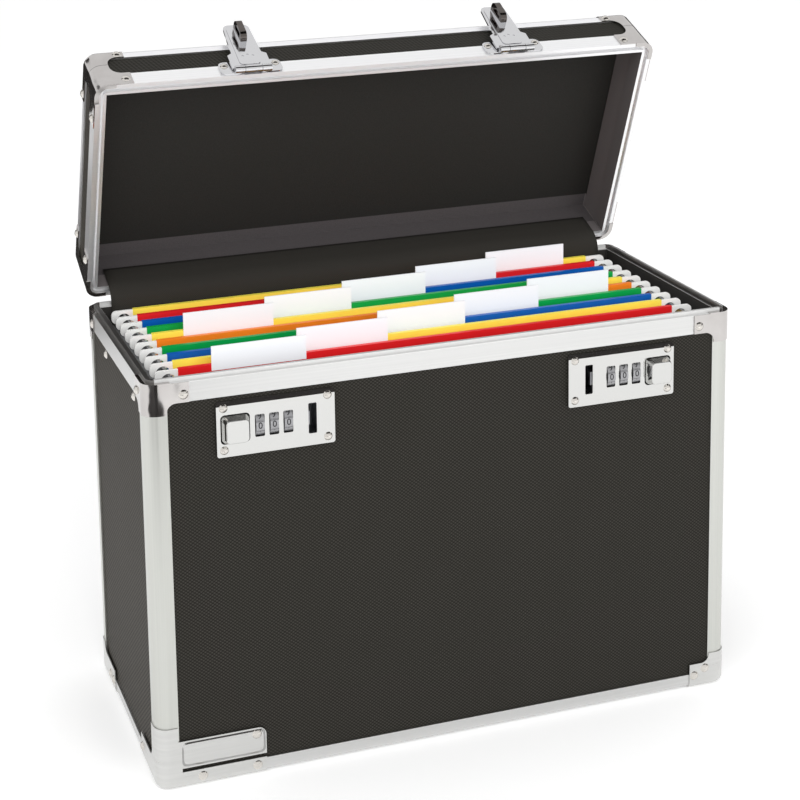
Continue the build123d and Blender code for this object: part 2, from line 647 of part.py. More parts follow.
# === body: rivets ===
cap_rivet = rivet(RIVET_HEAD_R, cap_grip)
lock_rivet = rivet(LOCK_RIVET_HEAD_R, lock_grip)
rail_rivet = rivet(RIVET_HEAD_R, rail_grip)
hinge_rivet = rivet(LOCK_RIVET_HEAD_R, hinge_grip)
with BuildPart() as body_rivets:
    with Locations(*cap_seats):
        add(cap_rivet)
    with Locations(*lock_seats):
        add(lock_rivet)
    with Locations(*rail_seats):
        add(rail_rivet)
    with Locations(*hinge_body_seats):
        add(hinge_rivet)
save(body_rivets.part, "body_rivets")

# === body: rails for the hanging files, bent from steel strip ===
rail_wall = WIDTH / 2 - WALL - LINING
rail_top = FILE_HOOK_ROOF - RAIL_SEAT_GAP
rail_lip_in = FILE_HOOK_X - RAIL_LIP / 2
with BuildPart() as file_rails:
    with BuildSketch(Plane.XZ):
        with BuildLine():
            Polyline(
                (rail_wall, RAIL_SHELF_Z + RAIL_SHEET - RAIL_FLANGE),
                (rail_wall, RAIL_SHELF_Z + RAIL_SHEET),
                (rail_lip_in + RAIL_LIP, RAIL_SHELF_Z + RAIL_SHEET),
                (rail_lip_in + RAIL_LIP, rail_top),
                (rail_lip_in, rail_top),
                (rail_lip_in, RAIL_SHELF_Z),
                (rail_wall - RAIL_SHEET, RAIL_SHELF_Z),
                (rail_wall - RAIL_SHEET, RAIL_SHELF_Z + RAIL_SHEET - RAIL_FLANGE),
                close=True,
            )
        make_face()
        mirror(about=Plane.YZ)
    extrude(amount=DEPTH / 2 - WALL - LINING - LID_GAP - FLAP_THICK, both=True)
    drill(rail_seats, rail_grip)
save(file_rails.part, "file_rails")

# === locks: plates ===
plate_mid_x = (LOCK_IN + LOCK_OUT) / 2
plate_mid_z = (LOCK_LOW + LOCK_HIGH) / 2
plate_wide = LOCK_OUT - LOCK_IN
plate_high = LOCK_HIGH - LOCK_LOW
panel_plane = Plane.XZ.offset(-PANEL_FACE_Y)
plate_face_y = PANEL_FACE_Y - LOCK_PROUD
with BuildPart() as lock_plates:
    with BuildSketch(panel_plane):
        with Locations((plate_mid_x, plate_mid_z)):
            RectangleRounded(plate_wide, plate_high, LOCK_R)
    extrude(amount=LOCK_PROUD)
    with BuildSketch(panel_plane):
        with Locations((plate_mid_x, plate_mid_z - LOCK_TOP_BEVEL / 2)):
            Rectangle(plate_wide - 2 * LOCK_SHEET, plate_high - 2 * LOCK_SHEET - LOCK_TOP_BEVEL)
    extrude(amount=LOCK_PROUD - LOCK_SHEET, mode=Mode.SUBTRACT)
    with BuildSketch(panel_plane):
        with Locations((plate_mid_x, (lock_rivet_z[0] + lock_rivet_z[1]) / 2)):
            with GridLocations(plate_wide - 2 * LOCK_RIVET_IN, lock_rivet_z[1] - lock_rivet_z[0], 2, 2):
                Circle(BOSS_R)
        with Locations((plate_mid_x, plate_mid_z)):
            RectangleRounded(plate_wide, plate_high, LOCK_R, mode=Mode.INTERSECT)
    extrude(amount=LOCK_PROUD)
    # bevel along the upper edge
    with BuildSketch(Plane.YZ.offset(LOCK_IN)):
        with BuildLine():
            Polyline(
                (plate_face_y, LOCK_HIGH - LOCK_TOP_BEVEL),
                (plate_face_y, LOCK_HIGH),
                (PANEL_FACE_Y - LOCK_SHEET, LOCK_HIGH),
                close=True,
            )
        make_face()
    extrude(amount=plate_wide, mode=Mode.SUBTRACT)
    with BuildSketch(panel_plane):
        with Locations(*[(x, LOCK_MID_Z) for x in DIAL_X]):
            RectangleRounded(WINDOW_WIDE, WINDOW_HIGH, 0.8)
        with Locations((SLOT_X, LOCK_MID_Z)):
            RectangleRounded(SLOT_WIDE, SLOT_HIGH, 0.8)
        with Locations((BUTTON_X, LOCK_MID_Z)):
            RectangleRounded(BUTTON + 2 * BUTTON_CLEAR, BUTTON + 2 * BUTTON_CLEAR, BUTTON_R)
    extrude(amount=LOCK_PROUD, mode=Mode.SUBTRACT)
    mirror(about=Plane.YZ)
    drill(lock_seats, lock_grip)
save(lock_plates.part, "lock_plates")

# === locks: case behind the panel, with the ribs that carry the dial shaft ===
case_back = Plane.XZ.offset(-PANEL_FACE_Y - HOUSING_BACK)
dial_axis_y = plate_face_y - DIAL_PROUD + DIAL_R
with BuildPart() as lock_housings:
    with BuildSketch(case_back):
        lock_hole(0)
    extrude(amount=HOUSING_BACK)
    with BuildSketch(case_back.offset(HOUSING_WALL)):
        lock_hole(-HOUSING_WALL)
    extrude(amount=HOUSING_BACK, mode=Mode.SUBTRACT)
    rib_top = LOCK_MID_Z + HOUSING_HIGH / 2
    for side in (-1, 1):
        for x in RIB_X:
            with Locations((side * x, dial_axis_y, (rib_top + RIB_LOW) / 2)):
                Box(RIB, 2 * SHAFT_R + 4, rib_top - RIB_LOW)
    with Locations(Location((0, dial_axis_y, LOCK_MID_Z), (0, 90, 0))):
        Cylinder(SHAFT_R, 2 * (RIB_X[1] + RIB), mode=Mode.SUBTRACT)
save(lock_housings.part, "lock_housings")

with BuildPart() as dial_shafts:
    with BuildSketch(Plane.YZ.offset(RIB_X[0] - RIB / 2)):
        with Locations((dial_axis_y, LOCK_MID_Z)):
            Circle(SHAFT_R)
    extrude(amount=RIB_X[1] - RIB_X[0] + RIB)
    mirror(about=Plane.YZ)
save(dial_shafts.part, "dial_shafts")

# === locks: dials, numbered outwards on each side ===
for side, word in ((-1, "left"), (1, "right")):
    for number, x in enumerate(DIAL_X, start=1):
        with BuildPart() as dial:
            with BuildSketch(Plane.YZ.offset(side * x - DIAL_WIDE / 2)):
                with Locations((dial_axis_y, LOCK_MID_Z)):
                    Circle(DIAL_R)
                    Circle(SHAFT_R + DIAL_BORE_CLEAR, mode=Mode.SUBTRACT)
                    with PolarLocations(DIAL_R, DIAL_DIGITS, start_angle=180 / DIAL_DIGITS):
                        Circle(DIAL_GROOVE_R, mode=Mode.SUBTRACT)
            extrude(amount=DIAL_WIDE)
        save(dial.part, f"dial_{word}_{number}")

# === locks: buttons and bolts; a slanted groove in the button's foot draws the bolt back ===
bolt_floor = LOCK_MID_Z - HOUSING_HIGH / 2 + HOUSING_WALL + HASP_PLAY
stem_back = plate_face_y + LOCK_PROUD + HOUSING_BACK - HOUSING_WALL - BUTTON_TRAVEL - STEM_SHORT
stem_low = LOCK_MID_Z - BUTTON_STEM / 2
peg_y = dial_axis_y + PEG_BEHIND
cap_back = plate_face_y + LOCK_SHEET
for side, word in ((-1, "left"), (1, "right")):
    with BuildPart() as button:
        with BuildSketch(Plane.XZ.offset(-cap_back)):
            with Locations((side * BUTTON_X, LOCK_MID_Z)):
                RectangleRounded(BUTTON, BUTTON, BUTTON_R)
        with BuildSketch(Plane.XZ.offset(BUTTON_PROUD - plate_face_y)):
            with Locations((side * BUTTON_X, LOCK_MID_Z)):
                RectangleRounded(BUTTON_FACE, BUTTON_FACE, BUTTON_R)
        loft()
        fillet(button.faces().sort_by(Axis.Y)[0].edges(), BUTTON_EDGE_R)
        with BuildSketch(Plane.XZ.offset(-cap_back)):
            with Locations((side * BUTTON_X, LOCK_MID_Z)):
                Rectangle(BUTTON_STEM, BUTTON_STEM)
        extrude(amount=cap_back - stem_back)
        with BuildSketch(Plane.XZ.offset(-cap_back)):
            with Locations((side * BUTTON_X, LOCK_MID_Z)):
                Rectangle(BUTTON_EAR_WIDE, BUTTON_EAR_HIGH)
        extrude(amount=-BUTTON_EAR_THICK)
        angle = math.degrees(math.atan2(-BUTTON_TRAVEL, side * BOLT_TRAVEL))
        stroke = math.hypot(BUTTON_TRAVEL, BOLT_TRAVEL)
        with BuildSketch(Plane.XY.offset(stem_low)):
            middle = (side * (BUTTON_X + BOLT_TRAVEL / 2), peg_y - BUTTON_TRAVEL / 2)
            with Locations(Location((middle[0], middle[1], 0), (0, 0, angle))):
                SlotCenterToCenter(stroke, 2 * (BOLT_PEG_R + CAM_CLEAR))
        extrude(amount=CAM_HIGH, mode=Mode.SUBTRACT)
    save(button.part, f"lock_button_{word}")

    tip_x = SLOT_X + SLOT_WIDE / 2 - BOLT_TIP_IN
    bolt_y = plate_face_y + LOCK_SHEET + CAM_CLEAR
    strip_y = PANEL_FACE_Y + CAM_CLEAR / 2
    with BuildPart() as bolt:
        # strip under the dials
        with Locations((side * tip_x, strip_y, bolt_floor)):
            strip_align = (Align.MIN if side > 0 else Align.MAX, Align.MIN, Align.MIN)
            Box(BUTTON_X + BOLT_PEG_R + CAM_CLEAR - tip_x, peg_y + STRIP_PAST_PEG - strip_y, BOLT_SHEET, align=strip_align)
        # upright finger with the latching tip
        with Locations((side * (tip_x + FINGER_SET_BACK), bolt_y, bolt_floor)):
            Box(BOLT_TIP_HIGH / 2, BOLT_DEEP, LOCK_MID_Z + BOLT_TIP_HIGH / 2 - bolt_floor, align=strip_align)
        with Locations((side * tip_x, bolt_y, LOCK_MID_Z)):
            Box(BOLT_TIP_HIGH / 2, BOLT_DEEP, BOLT_TIP_HIGH, align=(strip_align[0], Align.MIN, Align.CENTER))
        with Locations((side * BUTTON_X, peg_y, bolt_floor)):
            Cylinder(BOLT_PEG_R, stem_low + CAM_HIGH - HASP_PLAY - bolt_floor,
                     align=(Align.CENTER, Align.CENTER, Align.MIN))
    save(bolt.part, f"lock_bolt_{word}")

# === back hinge ===
knuckle_pitch = HINGE_LONG / HINGE_KNUCKLES


def hinge_leaf(up, first, seats):
    """One leaf of the long hinge: a strip on the rim, with every second knuckle."""
    plane = Plane.YZ.offset(-HINGE_LONG / 2)
    foot = HINGE_Z + up * (HINGE_KNUCKLE_R - HINGE_LEAF)
    web_mid = (HINGE_Y - HINGE_OUT, foot + up * HINGE_LEAF / 2)
    with BuildPart() as leaf:
        with BuildSketch(plane):
            with Locations((DEPTH / 2 + HINGE_LEAF / 2, foot + up * HINGE_LEAF_HIGH / 2)):
                Rectangle(HINGE_LEAF, HINGE_LEAF_HIGH)
        extrude(amount=HINGE_LONG)
        for n in range(first, HINGE_KNUCKLES, 2):
            with BuildSketch(plane.offset(n * knuckle_pitch + HINGE_PLAY / 2)):
                with Locations((HINGE_Y, HINGE_Z)):
                    Circle(HINGE_KNUCKLE_R)
                with Locations(web_mid):
                    Rectangle(HINGE_OUT, HINGE_LEAF, align=(Align.MIN, Align.CENTER))
            extrude(amount=knuckle_pitch - HINGE_PLAY)
        with BuildSketch(plane):
            with Locations((HINGE_Y, HINGE_Z)):
                Circle(HINGE_PIN_R + DIAL_BORE_CLEAR)
        extrude(amount=HINGE_LONG, mode=Mode.SUBTRACT)
        drill(seats, hinge_grip)
    return leaf.part


leaf_row_up = HINGE_Z + HINGE_KNUCKLE_R - HINGE_LEAF + HINGE_LEAF_HIGH / 2
hinge_lid_seats = [back_seat(x, leaf_row_up, HINGE_LEAF) for x in hinge_xs]
save(hinge_leaf(-1, 0, hinge_body_seats), "hinge_body_leaf")
save_in_lid(hinge_leaf(1, 1, hinge_lid_seats), "hinge_lid_leaf")

with BuildPart() as hinge_pin:
    with BuildSketch(Plane.YZ.offset(-HINGE_LONG / 2)):
        with Locations((HINGE_Y, HINGE_Z)):
            Circle(HINGE_PIN_R)
    extrude(amount=HINGE_LONG)
save(hinge_pin.part, "hinge_pin")


def flap_end(up, level):
    """One glued end of the fabric flap that covers the hinge inside: on the rim and the lining."""
    rim_in = DEPTH / 2 - RIM_THICK
    rim_end = level + up * (BODY_RIM_FACE if up < 0 else LID_RIM_FACE)
    align = (Align.CENTER, Align.MIN, Align.MAX if up < 0 else Align.MIN)
    with BuildPart() as flap:
        with Locations((0, rim_in - FLAP_THICK, level)):
            Box(FLAP_LONG, FLAP_THICK, abs(rim_end - level) + FLAP_HEM, align=align)
        with Locations((0, rim_in, rim_end)):
            Box(FLAP_LONG, DEPTH / 2 - WALL - LINING - rim_in, FLAP_LAP, align=align)
    return flap.part


save(flap_end(-1, BODY_TOP), "flap_body_end")
save_in_lid(flap_end(1, LID_LOW), "flap_lid_end")

# === lid: panels, profiles, lining ===
lid_cap_x = WIDTH / 2 - LID_CAP_REACH + 1.2 * RIVET_EDGE
lid_cap_y = DEPTH / 2 - LID_CAP_SIDE + 1.2 * RIVET_EDGE
lid_rows = (LID_LOW + LID_RIVET_IN, LID_TOP - LID_RIVET_IN)
lid_cap_seats = []
for sx, sy in CORNERS:
    for z in lid_rows:
        seat = front_seat if sy < 0 else back_seat
        lid_cap_seats.append(seat(sx * lid_cap_x, z, CAP_SHEET))
        lid_cap_seats.append(side_seat(sx, sy * lid_cap_y, z, CAP_SHEET))
hasp_row = LID_LOW + HASP_RIVET_UP
hasp_seats = [
    front_seat(side * HASP_X + dx, hasp_row, HASP_BASE_SHEET)
    for side in (-1, 1)
    for dx in (-HASP_RIVET_X, HASP_RIVET_X)
]
hasp_grip = HASP_BASE_SHEET + RIVET_GRIP

lid_panel_low = LID_LOW + LID_RIM_FACE - RIM_SLOT_DEPTH
lid_panel_high = LID_CEILING - lid_panel_low
lid_panel_mid = (LID_CEILING + lid_panel_low) / 2
bracket_x = HANDLE_GRIP / 2 + HANDLE_ARM + HANDLE_SIDE_PLAY + BRACKET_CHEEK / 2
lid_face = LID_TOP - SKIN
bracket_seats = [
    Plane((side * (bracket_x + BRACKET_FOOT / 2), HANDLE_Y + dy, lid_face + BRACKET_SHEET)).location
    for side in (-1, 1)
    for dy in (-BRACKET_LONG / 4, BRACKET_LONG / 4)
]
bracket_grip = BRACKET_SHEET + PANEL

for sy, label in ((-1, "lid_front_panel"), (1, "lid_back_panel")):
    with BuildPart() as lid_wall:
        with Locations((0, sy * face_y, lid_panel_mid)):
            Box(WIDTH - 2 * CORNER_R, PANEL, lid_panel_high)
        drill(lid_cap_seats + hasp_seats + hinge_lid_seats, hasp_grip)
    save_in_lid(lid_wall.part, label)

with BuildPart() as lid_side_panels:
    for side in (-1, 1):
        with Locations((side * side_x, 0, lid_panel_mid)):
            Box(PANEL, DEPTH - 2 * CORNER_R, lid_panel_high)
    drill(lid_cap_seats, cap_grip)
save_in_lid(lid_side_panels.part, "lid_side_panels")

with BuildPart() as lid_top_panel:
    with Locations((0, 0, LID_TOP - SKIN - PANEL / 2)):
        Box(WIDTH - 2 * WALL, DEPTH - 2 * WALL, PANEL)
    drill(bracket_seats, bracket_grip)
save_in_lid(lid_top_panel.part, "lid_top_panel")

save_in_lid(edge_frame(LID_TOP, DOWN, LID_FACE, lid_cap_seats, cap_grip), "lid_top_profiles")
save_in_lid(corner_posts(LID_LOW + LID_RIM_FACE, LID_TOP - LID_FACE, POST_LEG), "lid_corner_posts")
rim_seats = lid_cap_seats + hasp_seats + hinge_lid_seats
save_in_lid(rim_frame(LID_LOW, UP, LID_RIM_FACE, rim_seats, hasp_grip), "lid_rim")

with BuildPart() as lid_lining:
    with BuildSketch(Plane.XY.offset(LID_LOW + LID_RIM_FACE)):
        Rectangle(WIDTH - 2 * WALL, DEPTH - 2 * WALL)
    extrude(amount=LID_CEILING - LID_LOW - LID_RIM_FACE)
    with BuildSketch(Plane.XY.offset(LID_CEILING - LINING)):
        Rectangle(WIDTH - 2 * WALL - 2 * LINING, DEPTH - 2 * WALL - 2 * LINING)
    extrude(amount=-LID_TOP, mode=Mode.SUBTRACT)
save_in_lid(lid_lining.part, "lid_lining")

# === lid: corner caps, an upper and a lower one at each corner ===
lid_core = core_block(0, 0, LID_TOP, DOWN)
lid_skin = core_block(CAP_SHEET, LID_CAP_SPLIT + CAP_JOINT / 2, LID_TOP + CAP_SHEET, DOWN)
lid_skin_top = LID_TOP + CAP_SHEET
lid_face_low = LID_TOP - LID_FACE
split_up = LID_CAP_SPLIT + CAP_JOINT / 2
with BuildPart() as lid_top_caps:
    add(lid_skin)
    add(lid_core, mode=Mode.SUBTRACT)
    with BuildSketch(Plane.XZ):
        add(cap_outline(base_half, LID_CAP_REACH, LID_CAP_LEG, lid_skin_top, lid_face_low, split_up,
                    LID_CAP_BEND_R))
    extrude(amount=DEPTH, both=True, mode=Mode.INTERSECT)
    with BuildSketch(Plane.YZ):
        add(cap_outline(base_half_y, LID_CAP_SIDE, LID_CAP_LEG, lid_skin_top, lid_face_low, split_up,
                    LID_CAP_BEND_R))
    extrude(amount=WIDTH, both=True, mode=Mode.INTERSECT)
    with BuildSketch(Plane.XY.offset(lid_skin_top)):
        add(cap_outline(base_half, LID_CAP_REACH, LID_FACE, base_half_y, base_half_y - LID_FACE,
                    base_half_y - LID_CAP_SIDE, LID_CAP_BEND_R))
        mirror(about=Plane.XZ)
    extrude(amount=-LID_TOP, mode=Mode.INTERSECT)
    drill(lid_cap_seats, cap_grip)
save_in_lid(lid_top_caps.part, "lid_top_caps")

rim_end_up = LID_LOW + LID_RIM_FACE
split_low = LID_CAP_SPLIT - CAP_JOINT / 2
with BuildPart() as lid_rim_caps:
    with BuildSketch(Plane.XY.offset(LID_LOW)):
        rim_band(-CAP_SHEET, 0)
    extrude(amount=split_low - LID_LOW)
    with BuildSketch(Plane.XZ):
        add(cap_outline(base_half, LID_CAP_REACH, LID_CAP_LEG, LID_LOW, rim_end_up, split_low, LID_CAP_BEND_R))
    extrude(amount=DEPTH, both=True, mode=Mode.INTERSECT)
    with BuildSketch(Plane.YZ):
        add(cap_outline(base_half_y, LID_CAP_SIDE, LID_CAP_LEG, LID_LOW, rim_end_up, split_low, LID_CAP_BEND_R))
    extrude(amount=WIDTH, both=True, mode=Mode.INTERSECT)
    with BuildSketch(Plane.XY.offset(LID_LOW)):
        rim_band(-CAP_SHEET, LEDGE - 2 * GROOVE_CLEAR)
        Rectangle(WIDTH - 2 * LID_CAP_LEG, 2 * DEPTH, mode=Mode.SUBTRACT)
        Rectangle(2 * WIDTH, DEPTH - 2 * LID_CAP_LEG, mode=Mode.SUBTRACT)
    extrude(amount=-TRIM_SHEET)
    drill(lid_cap_seats, cap_grip)
save_in_lid(lid_rim_caps.part, "lid_rim_caps")

with BuildPart() as lid_rivets:
    with Locations(*lid_cap_seats):
        add(cap_rivet)
    with Locations(*hasp_seats):
        add(rivet(LOCK_RIVET_HEAD_R, hasp_grip))
    with Locations(*hinge_lid_seats):
        add(hinge_rivet)
    with Locations(*bracket_seats):
        add(rivet(LOCK_RIVET_HEAD_R, bracket_grip))
save_in_lid(lid_rivets.part, "lid_rivets")

# === lid: hasp bases, pins and hasps ===
hasp_y = -DEPTH / 2 - HASP_AXIS_OUT
hasp_z = LID_LOW + HASP_AXIS_UP
side_knuckle = (HASP_BARREL - HASP_MIDDLE) / 2 - HASP_PLAY
with BuildPart() as hasp_bases:
    with BuildSketch(Plane.XZ.offset(DEPTH / 2)):
        with Locations((HASP_X, LID_LOW + HASP_BASE_HIGH / 2 + HASP_BASE_UP)):
            RectangleRounded(HASP_BASE_WIDE, HASP_BASE_HIGH, HASP_CORNER_R)
        with Locations((HASP_X, LID_LOW)):
            Rectangle(HASP_MIDDLE + 2 * HASP_PLAY, 2 * (HASP_AXIS_UP + HASP_KNUCKLE_R + BARREL_ROOM),
                      mode=Mode.SUBTRACT)
    extrude(amount=HASP_BASE_SHEET)
    for dx in (-1, 1):
        knuckle_in = HASP_X + dx * (HASP_MIDDLE / 2 + HASP_PLAY)
        with BuildSketch(Plane.YZ.offset(knuckle_in)):
            with Locations((hasp_y, hasp_z)):
                Circle(HASP_KNUCKLE_R)
            with Locations((-DEPTH / 2 - HASP_BASE_SHEET / 2, hasp_z)):
                Rectangle(HASP_AXIS_OUT, 2 * HASP_BASE_SHEET, align=(Align.MAX, Align.CENTER))
        extrude(amount=dx * side_knuckle)
    with BuildSketch(Plane.YZ.offset(HASP_X - HASP_BARREL / 2)):
        with Locations((hasp_y, hasp_z)):
            Circle(HASP_PIN_R)
    extrude(amount=HASP_BARREL, mode=Mode.SUBTRACT)
    mirror(about=Plane.YZ)
    drill(hasp_seats, hasp_grip)
save_in_lid(hasp_bases.part, "hasp_bases")

pin_long = HASP_MIDDLE + 2 * HASP_PLAY + 2 * side_knuckle
with BuildPart() as hasp_pins:
    with BuildSketch(Plane.YZ.offset(HASP_X - pin_long / 2)):
        with Locations((hasp_y, hasp_z)):
            Circle(HASP_PIN_R)
    extrude(amount=pin_long)
    mirror(about=Plane.YZ)
save_in_lid(hasp_pins.part, "hasp_pins")

hasp_back = hasp_y - HASP_KNUCKLE_R + HASP_SHEET
strip_back = hasp_back + HASP_STRIP_THICK
hasp_tip_z = hasp_z - HASP_LONG
HASP_AXIS = Axis((0, hasp_y, hasp_z), (1, 0, 0))
for side, word in ((-1, "left"), (1, "right")):
    centre = side * HASP_X
    with BuildPart() as hasp:
        # plate: wide shoulders, a neck and a rounded tip
        with BuildSketch(Plane.XZ.offset(-hasp_back)):
            with BuildLine():
                shoulder_z = hasp_z - HASP_SHOULDER_LONG
                top_z = hasp_z - HASP_KNUCKLE_R - HASP_PLAY
                Polyline(
                    (centre - HASP_SHOULDER / 2, top_z),
                    (centre + HASP_SHOULDER / 2, top_z),
                    (centre + HASP_SHOULDER / 2, shoulder_z),
                    (centre + HASP_NECK / 2, shoulder_z - HASP_SHOULDER_SLOPE),
                    (centre + HASP_TIP / 2, hasp_tip_z),
                    (centre - HASP_TIP / 2, hasp_tip_z),
                    (centre - HASP_NECK / 2, shoulder_z - HASP_SHOULDER_SLOPE),
                    (centre - HASP_SHOULDER / 2, shoulder_z),
                    close=True,
                )
            make_face()
            tip_corners = vertices().group_by(Axis.Y)[0]
            fillet(tip_corners, HASP_CORNER_R)
        extrude(amount=HASP_SHEET)
        # middle knuckle and the tongue of sheet that rolls into it
        with BuildSketch(Plane.YZ.offset(centre - HASP_MIDDLE / 2)):
            with Locations((hasp_y, hasp_z)):
                Circle(HASP_KNUCKLE_R)
            with Locations((hasp_back, hasp_z)):
                Rectangle(HASP_SHEET, HASP_KNUCKLE_R + HASP_PLAY, align=(Align.MAX, Align.MAX))
            with Locations((hasp_y, hasp_z)):
                Circle(HASP_PIN_R + PIN_CLEAR, mode=Mode.SUBTRACT)
        extrude(amount=HASP_MIDDLE)
        # stiffening strip and the staple that enters the lock's slot
        with BuildSketch(Plane.XZ.offset(-hasp_back)):
            strip_top = hasp_z - HASP_KNUCKLE_R - HASP_STRIP_TOP
            strip_tip = hasp_tip_z + HASP_STRIP_TIP
            with Locations((centre, (strip_top + strip_tip) / 2)):
                RectangleRounded(HASP_STRIP, strip_top - strip_tip, HASP_STRIP_R)
        extrude(amount=-HASP_STRIP_THICK)
        with BuildSketch(Plane.YZ.offset(centre - STAPLE_THICK / 2)):
            with Locations((hasp_back, LOCK_MID_Z)):
                Rectangle(STAPLE_OUT + HASP_STRIP_THICK, STAPLE_LONG, align=(Align.MIN, Align.CENTER))
            fillet(vertices().group_by(Axis.X)[-1], STAPLE_R)
            with Locations((strip_back + STAPLE_EYE_LOW, LOCK_MID_Z)):
                RectangleRounded(STAPLE_EYE_HIGH, STAPLE_EYE_LONG, STAPLE_EYE_R, align=(Align.MIN, Align.CENTER),
                                 mode=Mode.SUBTRACT)
        extrude(amount=STAPLE_THICK)
        # pressed dimples between barrel and staple
        dimple_z = hasp_z - HASP_SHOULDER_LONG + DIMPLE_UP
        with Locations(*[Location((centre + i * DIMPLE_GAP, strip_back, dimple_z + abs(i) * DIMPLE_RISE), (90, 0, 0))
                         for i in (-1, 0, 1)]):
            Cylinder(DIMPLE_R, HASP_STRIP_THICK, mode=Mode.SUBTRACT)
    save_in_lid(hasp.part.rotate(HASP_AXIS, -HASP_FOLD), f"hasp_{word}")

# === lid: handle and its brackets ===
handle_z = lid_face + HANDLE_UP
arm_x = HANDLE_GRIP / 2 + HANDLE_ARM / 2
cheek_in = HANDLE_GRIP / 2 + HANDLE_ARM + HANDLE_SIDE_PLAY
with BuildPart() as handle_brackets:
    with BuildSketch(Plane.XY.offset(lid_face)):
        with Locations((cheek_in, HANDLE_Y)):
            Rectangle(BRACKET_CHEEK + BRACKET_FOOT, BRACKET_LONG, align=(Align.MIN, Align.CENTER))
        fillet(vertices().group_by(Axis.X)[-1], BRACKET_R)
    extrude(amount=BRACKET_SHEET)
    with BuildSketch(Plane.YZ.offset(cheek_in)):
        with Locations((HANDLE_Y, lid_face)):
            Rectangle(HANDLE_ARM_WIDE, HANDLE_UP, align=(Align.CENTER, Align.MIN))
        with Locations((HANDLE_Y, handle_z)):
            Circle(HANDLE_ARM_WIDE / 2)
    extrude(amount=BRACKET_CHEEK)
    # pivot pin with its head inside the arm
    with BuildSketch(Plane.YZ.offset(cheek_in)):
        with Locations((HANDLE_Y, handle_z)):
            Circle(HANDLE_PIN_R)
    extrude(amount=-(HANDLE_ARM + HANDLE_SIDE_PLAY))
    mirror(about=Plane.YZ)
    drill(bracket_seats, bracket_grip)
save_in_lid(handle_brackets.part, "handle_brackets")

with BuildPart() as handle:
    grip_y = HANDLE_Y + HANDLE_REACH
    with BuildSketch(Plane.YZ.offset(-HANDLE_GRIP / 2 - HANDLE_ARM)):
        with Locations((grip_y, handle_z)):
            RectangleRounded(HANDLE_GRIP_WIDE, HANDLE_GRIP_THICK, HANDLE_GRIP_R)
    extrude(amount=HANDLE_GRIP + 2 * HANDLE_ARM)
    for side in (-1, 1):
        with BuildSketch(Plane.YZ.offset(side * arm_x - HANDLE_ARM / 2)):
            with Locations((HANDLE_Y + HANDLE_REACH / 2, handle_z)):
                SlotCenterToCenter(HANDLE_REACH, HANDLE_ARM_WIDE)
        extrude(amount=HANDLE_ARM)
    with BuildSketch(Plane.YZ.offset(-HANDLE_GRIP)):
        with Locations((HANDLE_Y, handle_z)):
            Circle(HANDLE_PIN_R + PIN_CLEAR)
    extrude(amount=2 * HANDLE_GRIP, mode=Mode.SUBTRACT)
save_in_lid(handle.part, "handle")

# === hanging files, numbered from the back ===
bar_low = FILE_BAR_TOP - FILE_BAR_HIGH
sleeve_low = bar_low - FILE_SLEEVE_CLEAR - FILE_BOARD
sleeve_top = FILE_BAR_TOP + FILE_SLEEVE_CAP
for number in range(FILE_COUNT):
    bar_y = FILE_BACK_Y - number * FILE_PITCH
    # bar with an arched hook notch near each end
    with BuildPart() as bar:
        with BuildSketch(Plane.XZ.offset(-bar_y)):
            with Locations((0, FILE_BAR_TOP - FILE_BAR_HIGH / 2)):
                Rectangle(FILE_BAR_LONG, FILE_BAR_HIGH)
            fillet(vertices().group_by(Axis.Z)[-1], FILE_BAR_R)
            for side in (-1, 1):
                with Locations((side * FILE_HOOK_X, FILE_HOOK_ROOF - FILE_HOOK_R)):
                    Circle(FILE_HOOK_R, mode=Mode.SUBTRACT)
                    Rectangle(2 * FILE_HOOK_R, FILE_BAR_HIGH, align=(Align.CENTER, Align.MAX),
                              mode=Mode.SUBTRACT)
        extrude(amount=FILE_BAR_THICK / 2, both=True)
    # folder: a sleeve round the bar, and a pocket open at the top in front of it
    leaf_back = bar_y + FILE_SLEEVE / 2
    pocket_front = leaf_back - 2 * FILE_BOARD - FILE_POCKET
    with BuildPart() as folder:
        with BuildSketch(Plane.YZ.offset(-FILE_WIDE / 2)):
            with Locations((bar_y, sleeve_low)):
                Rectangle(FILE_SLEEVE, sleeve_top - sleeve_low, align=(Align.CENTER, Align.MIN))
            with Locations((bar_y, bar_low - FILE_SLEEVE_CLEAR)):
                Rectangle(FILE_BAR_THICK + 2 * FILE_SLEEVE_CLEAR, FILE_BAR_HIGH + 2 * FILE_SLEEVE_CLEAR,
                          align=(Align.CENTER, Align.MIN), mode=Mode.SUBTRACT)
            with Locations((leaf_back, FILE_LOW)):
                Rectangle(FILE_BOARD, sleeve_low - FILE_LOW, align=(Align.MAX, Align.MIN))
            with Locations((pocket_front, FILE_LOW)):
                Rectangle(FILE_POCKET + 2 * FILE_BOARD, FILE_BOARD, align=(Align.MIN, Align.MIN))
                Rectangle(FILE_BOARD, FILE_MOUTH - FILE_LOW, align=(Align.MIN, Align.MIN))
        extrude(amount=FILE_WIDE)
        for side in (-1, 1):
            side_align = (Align.MAX if side > 0 else Align.MIN, Align.MIN, Align.MIN)
            with Locations((side * FILE_WIDE / 2, pocket_front, FILE_LOW)):
                Box(FILE_BOARD, FILE_POCKET + 2 * FILE_BOARD, FILE_MOUTH - FILE_LOW, align=side_align)
    # index tab on the sleeve's front
    with BuildPart() as tab:
        tab_x = TAB_FIRST_X - (number % TAB_PLACES) * TAB_STEP
        with Locations((tab_x, bar_y - FILE_SLEEVE / 2, TAB_LOW)):
            Box(TAB_WIDE, TAB_THICK, TAB_TOP - TAB_LOW, align=(Align.CENTER, Align.MAX, Align.MIN))
    save(Compound(children=[folder.part, bar.part, tab.part]), f"file_{number + 1:02d}")
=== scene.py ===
import math
import bpy
from mathutils import Matrix, Vector


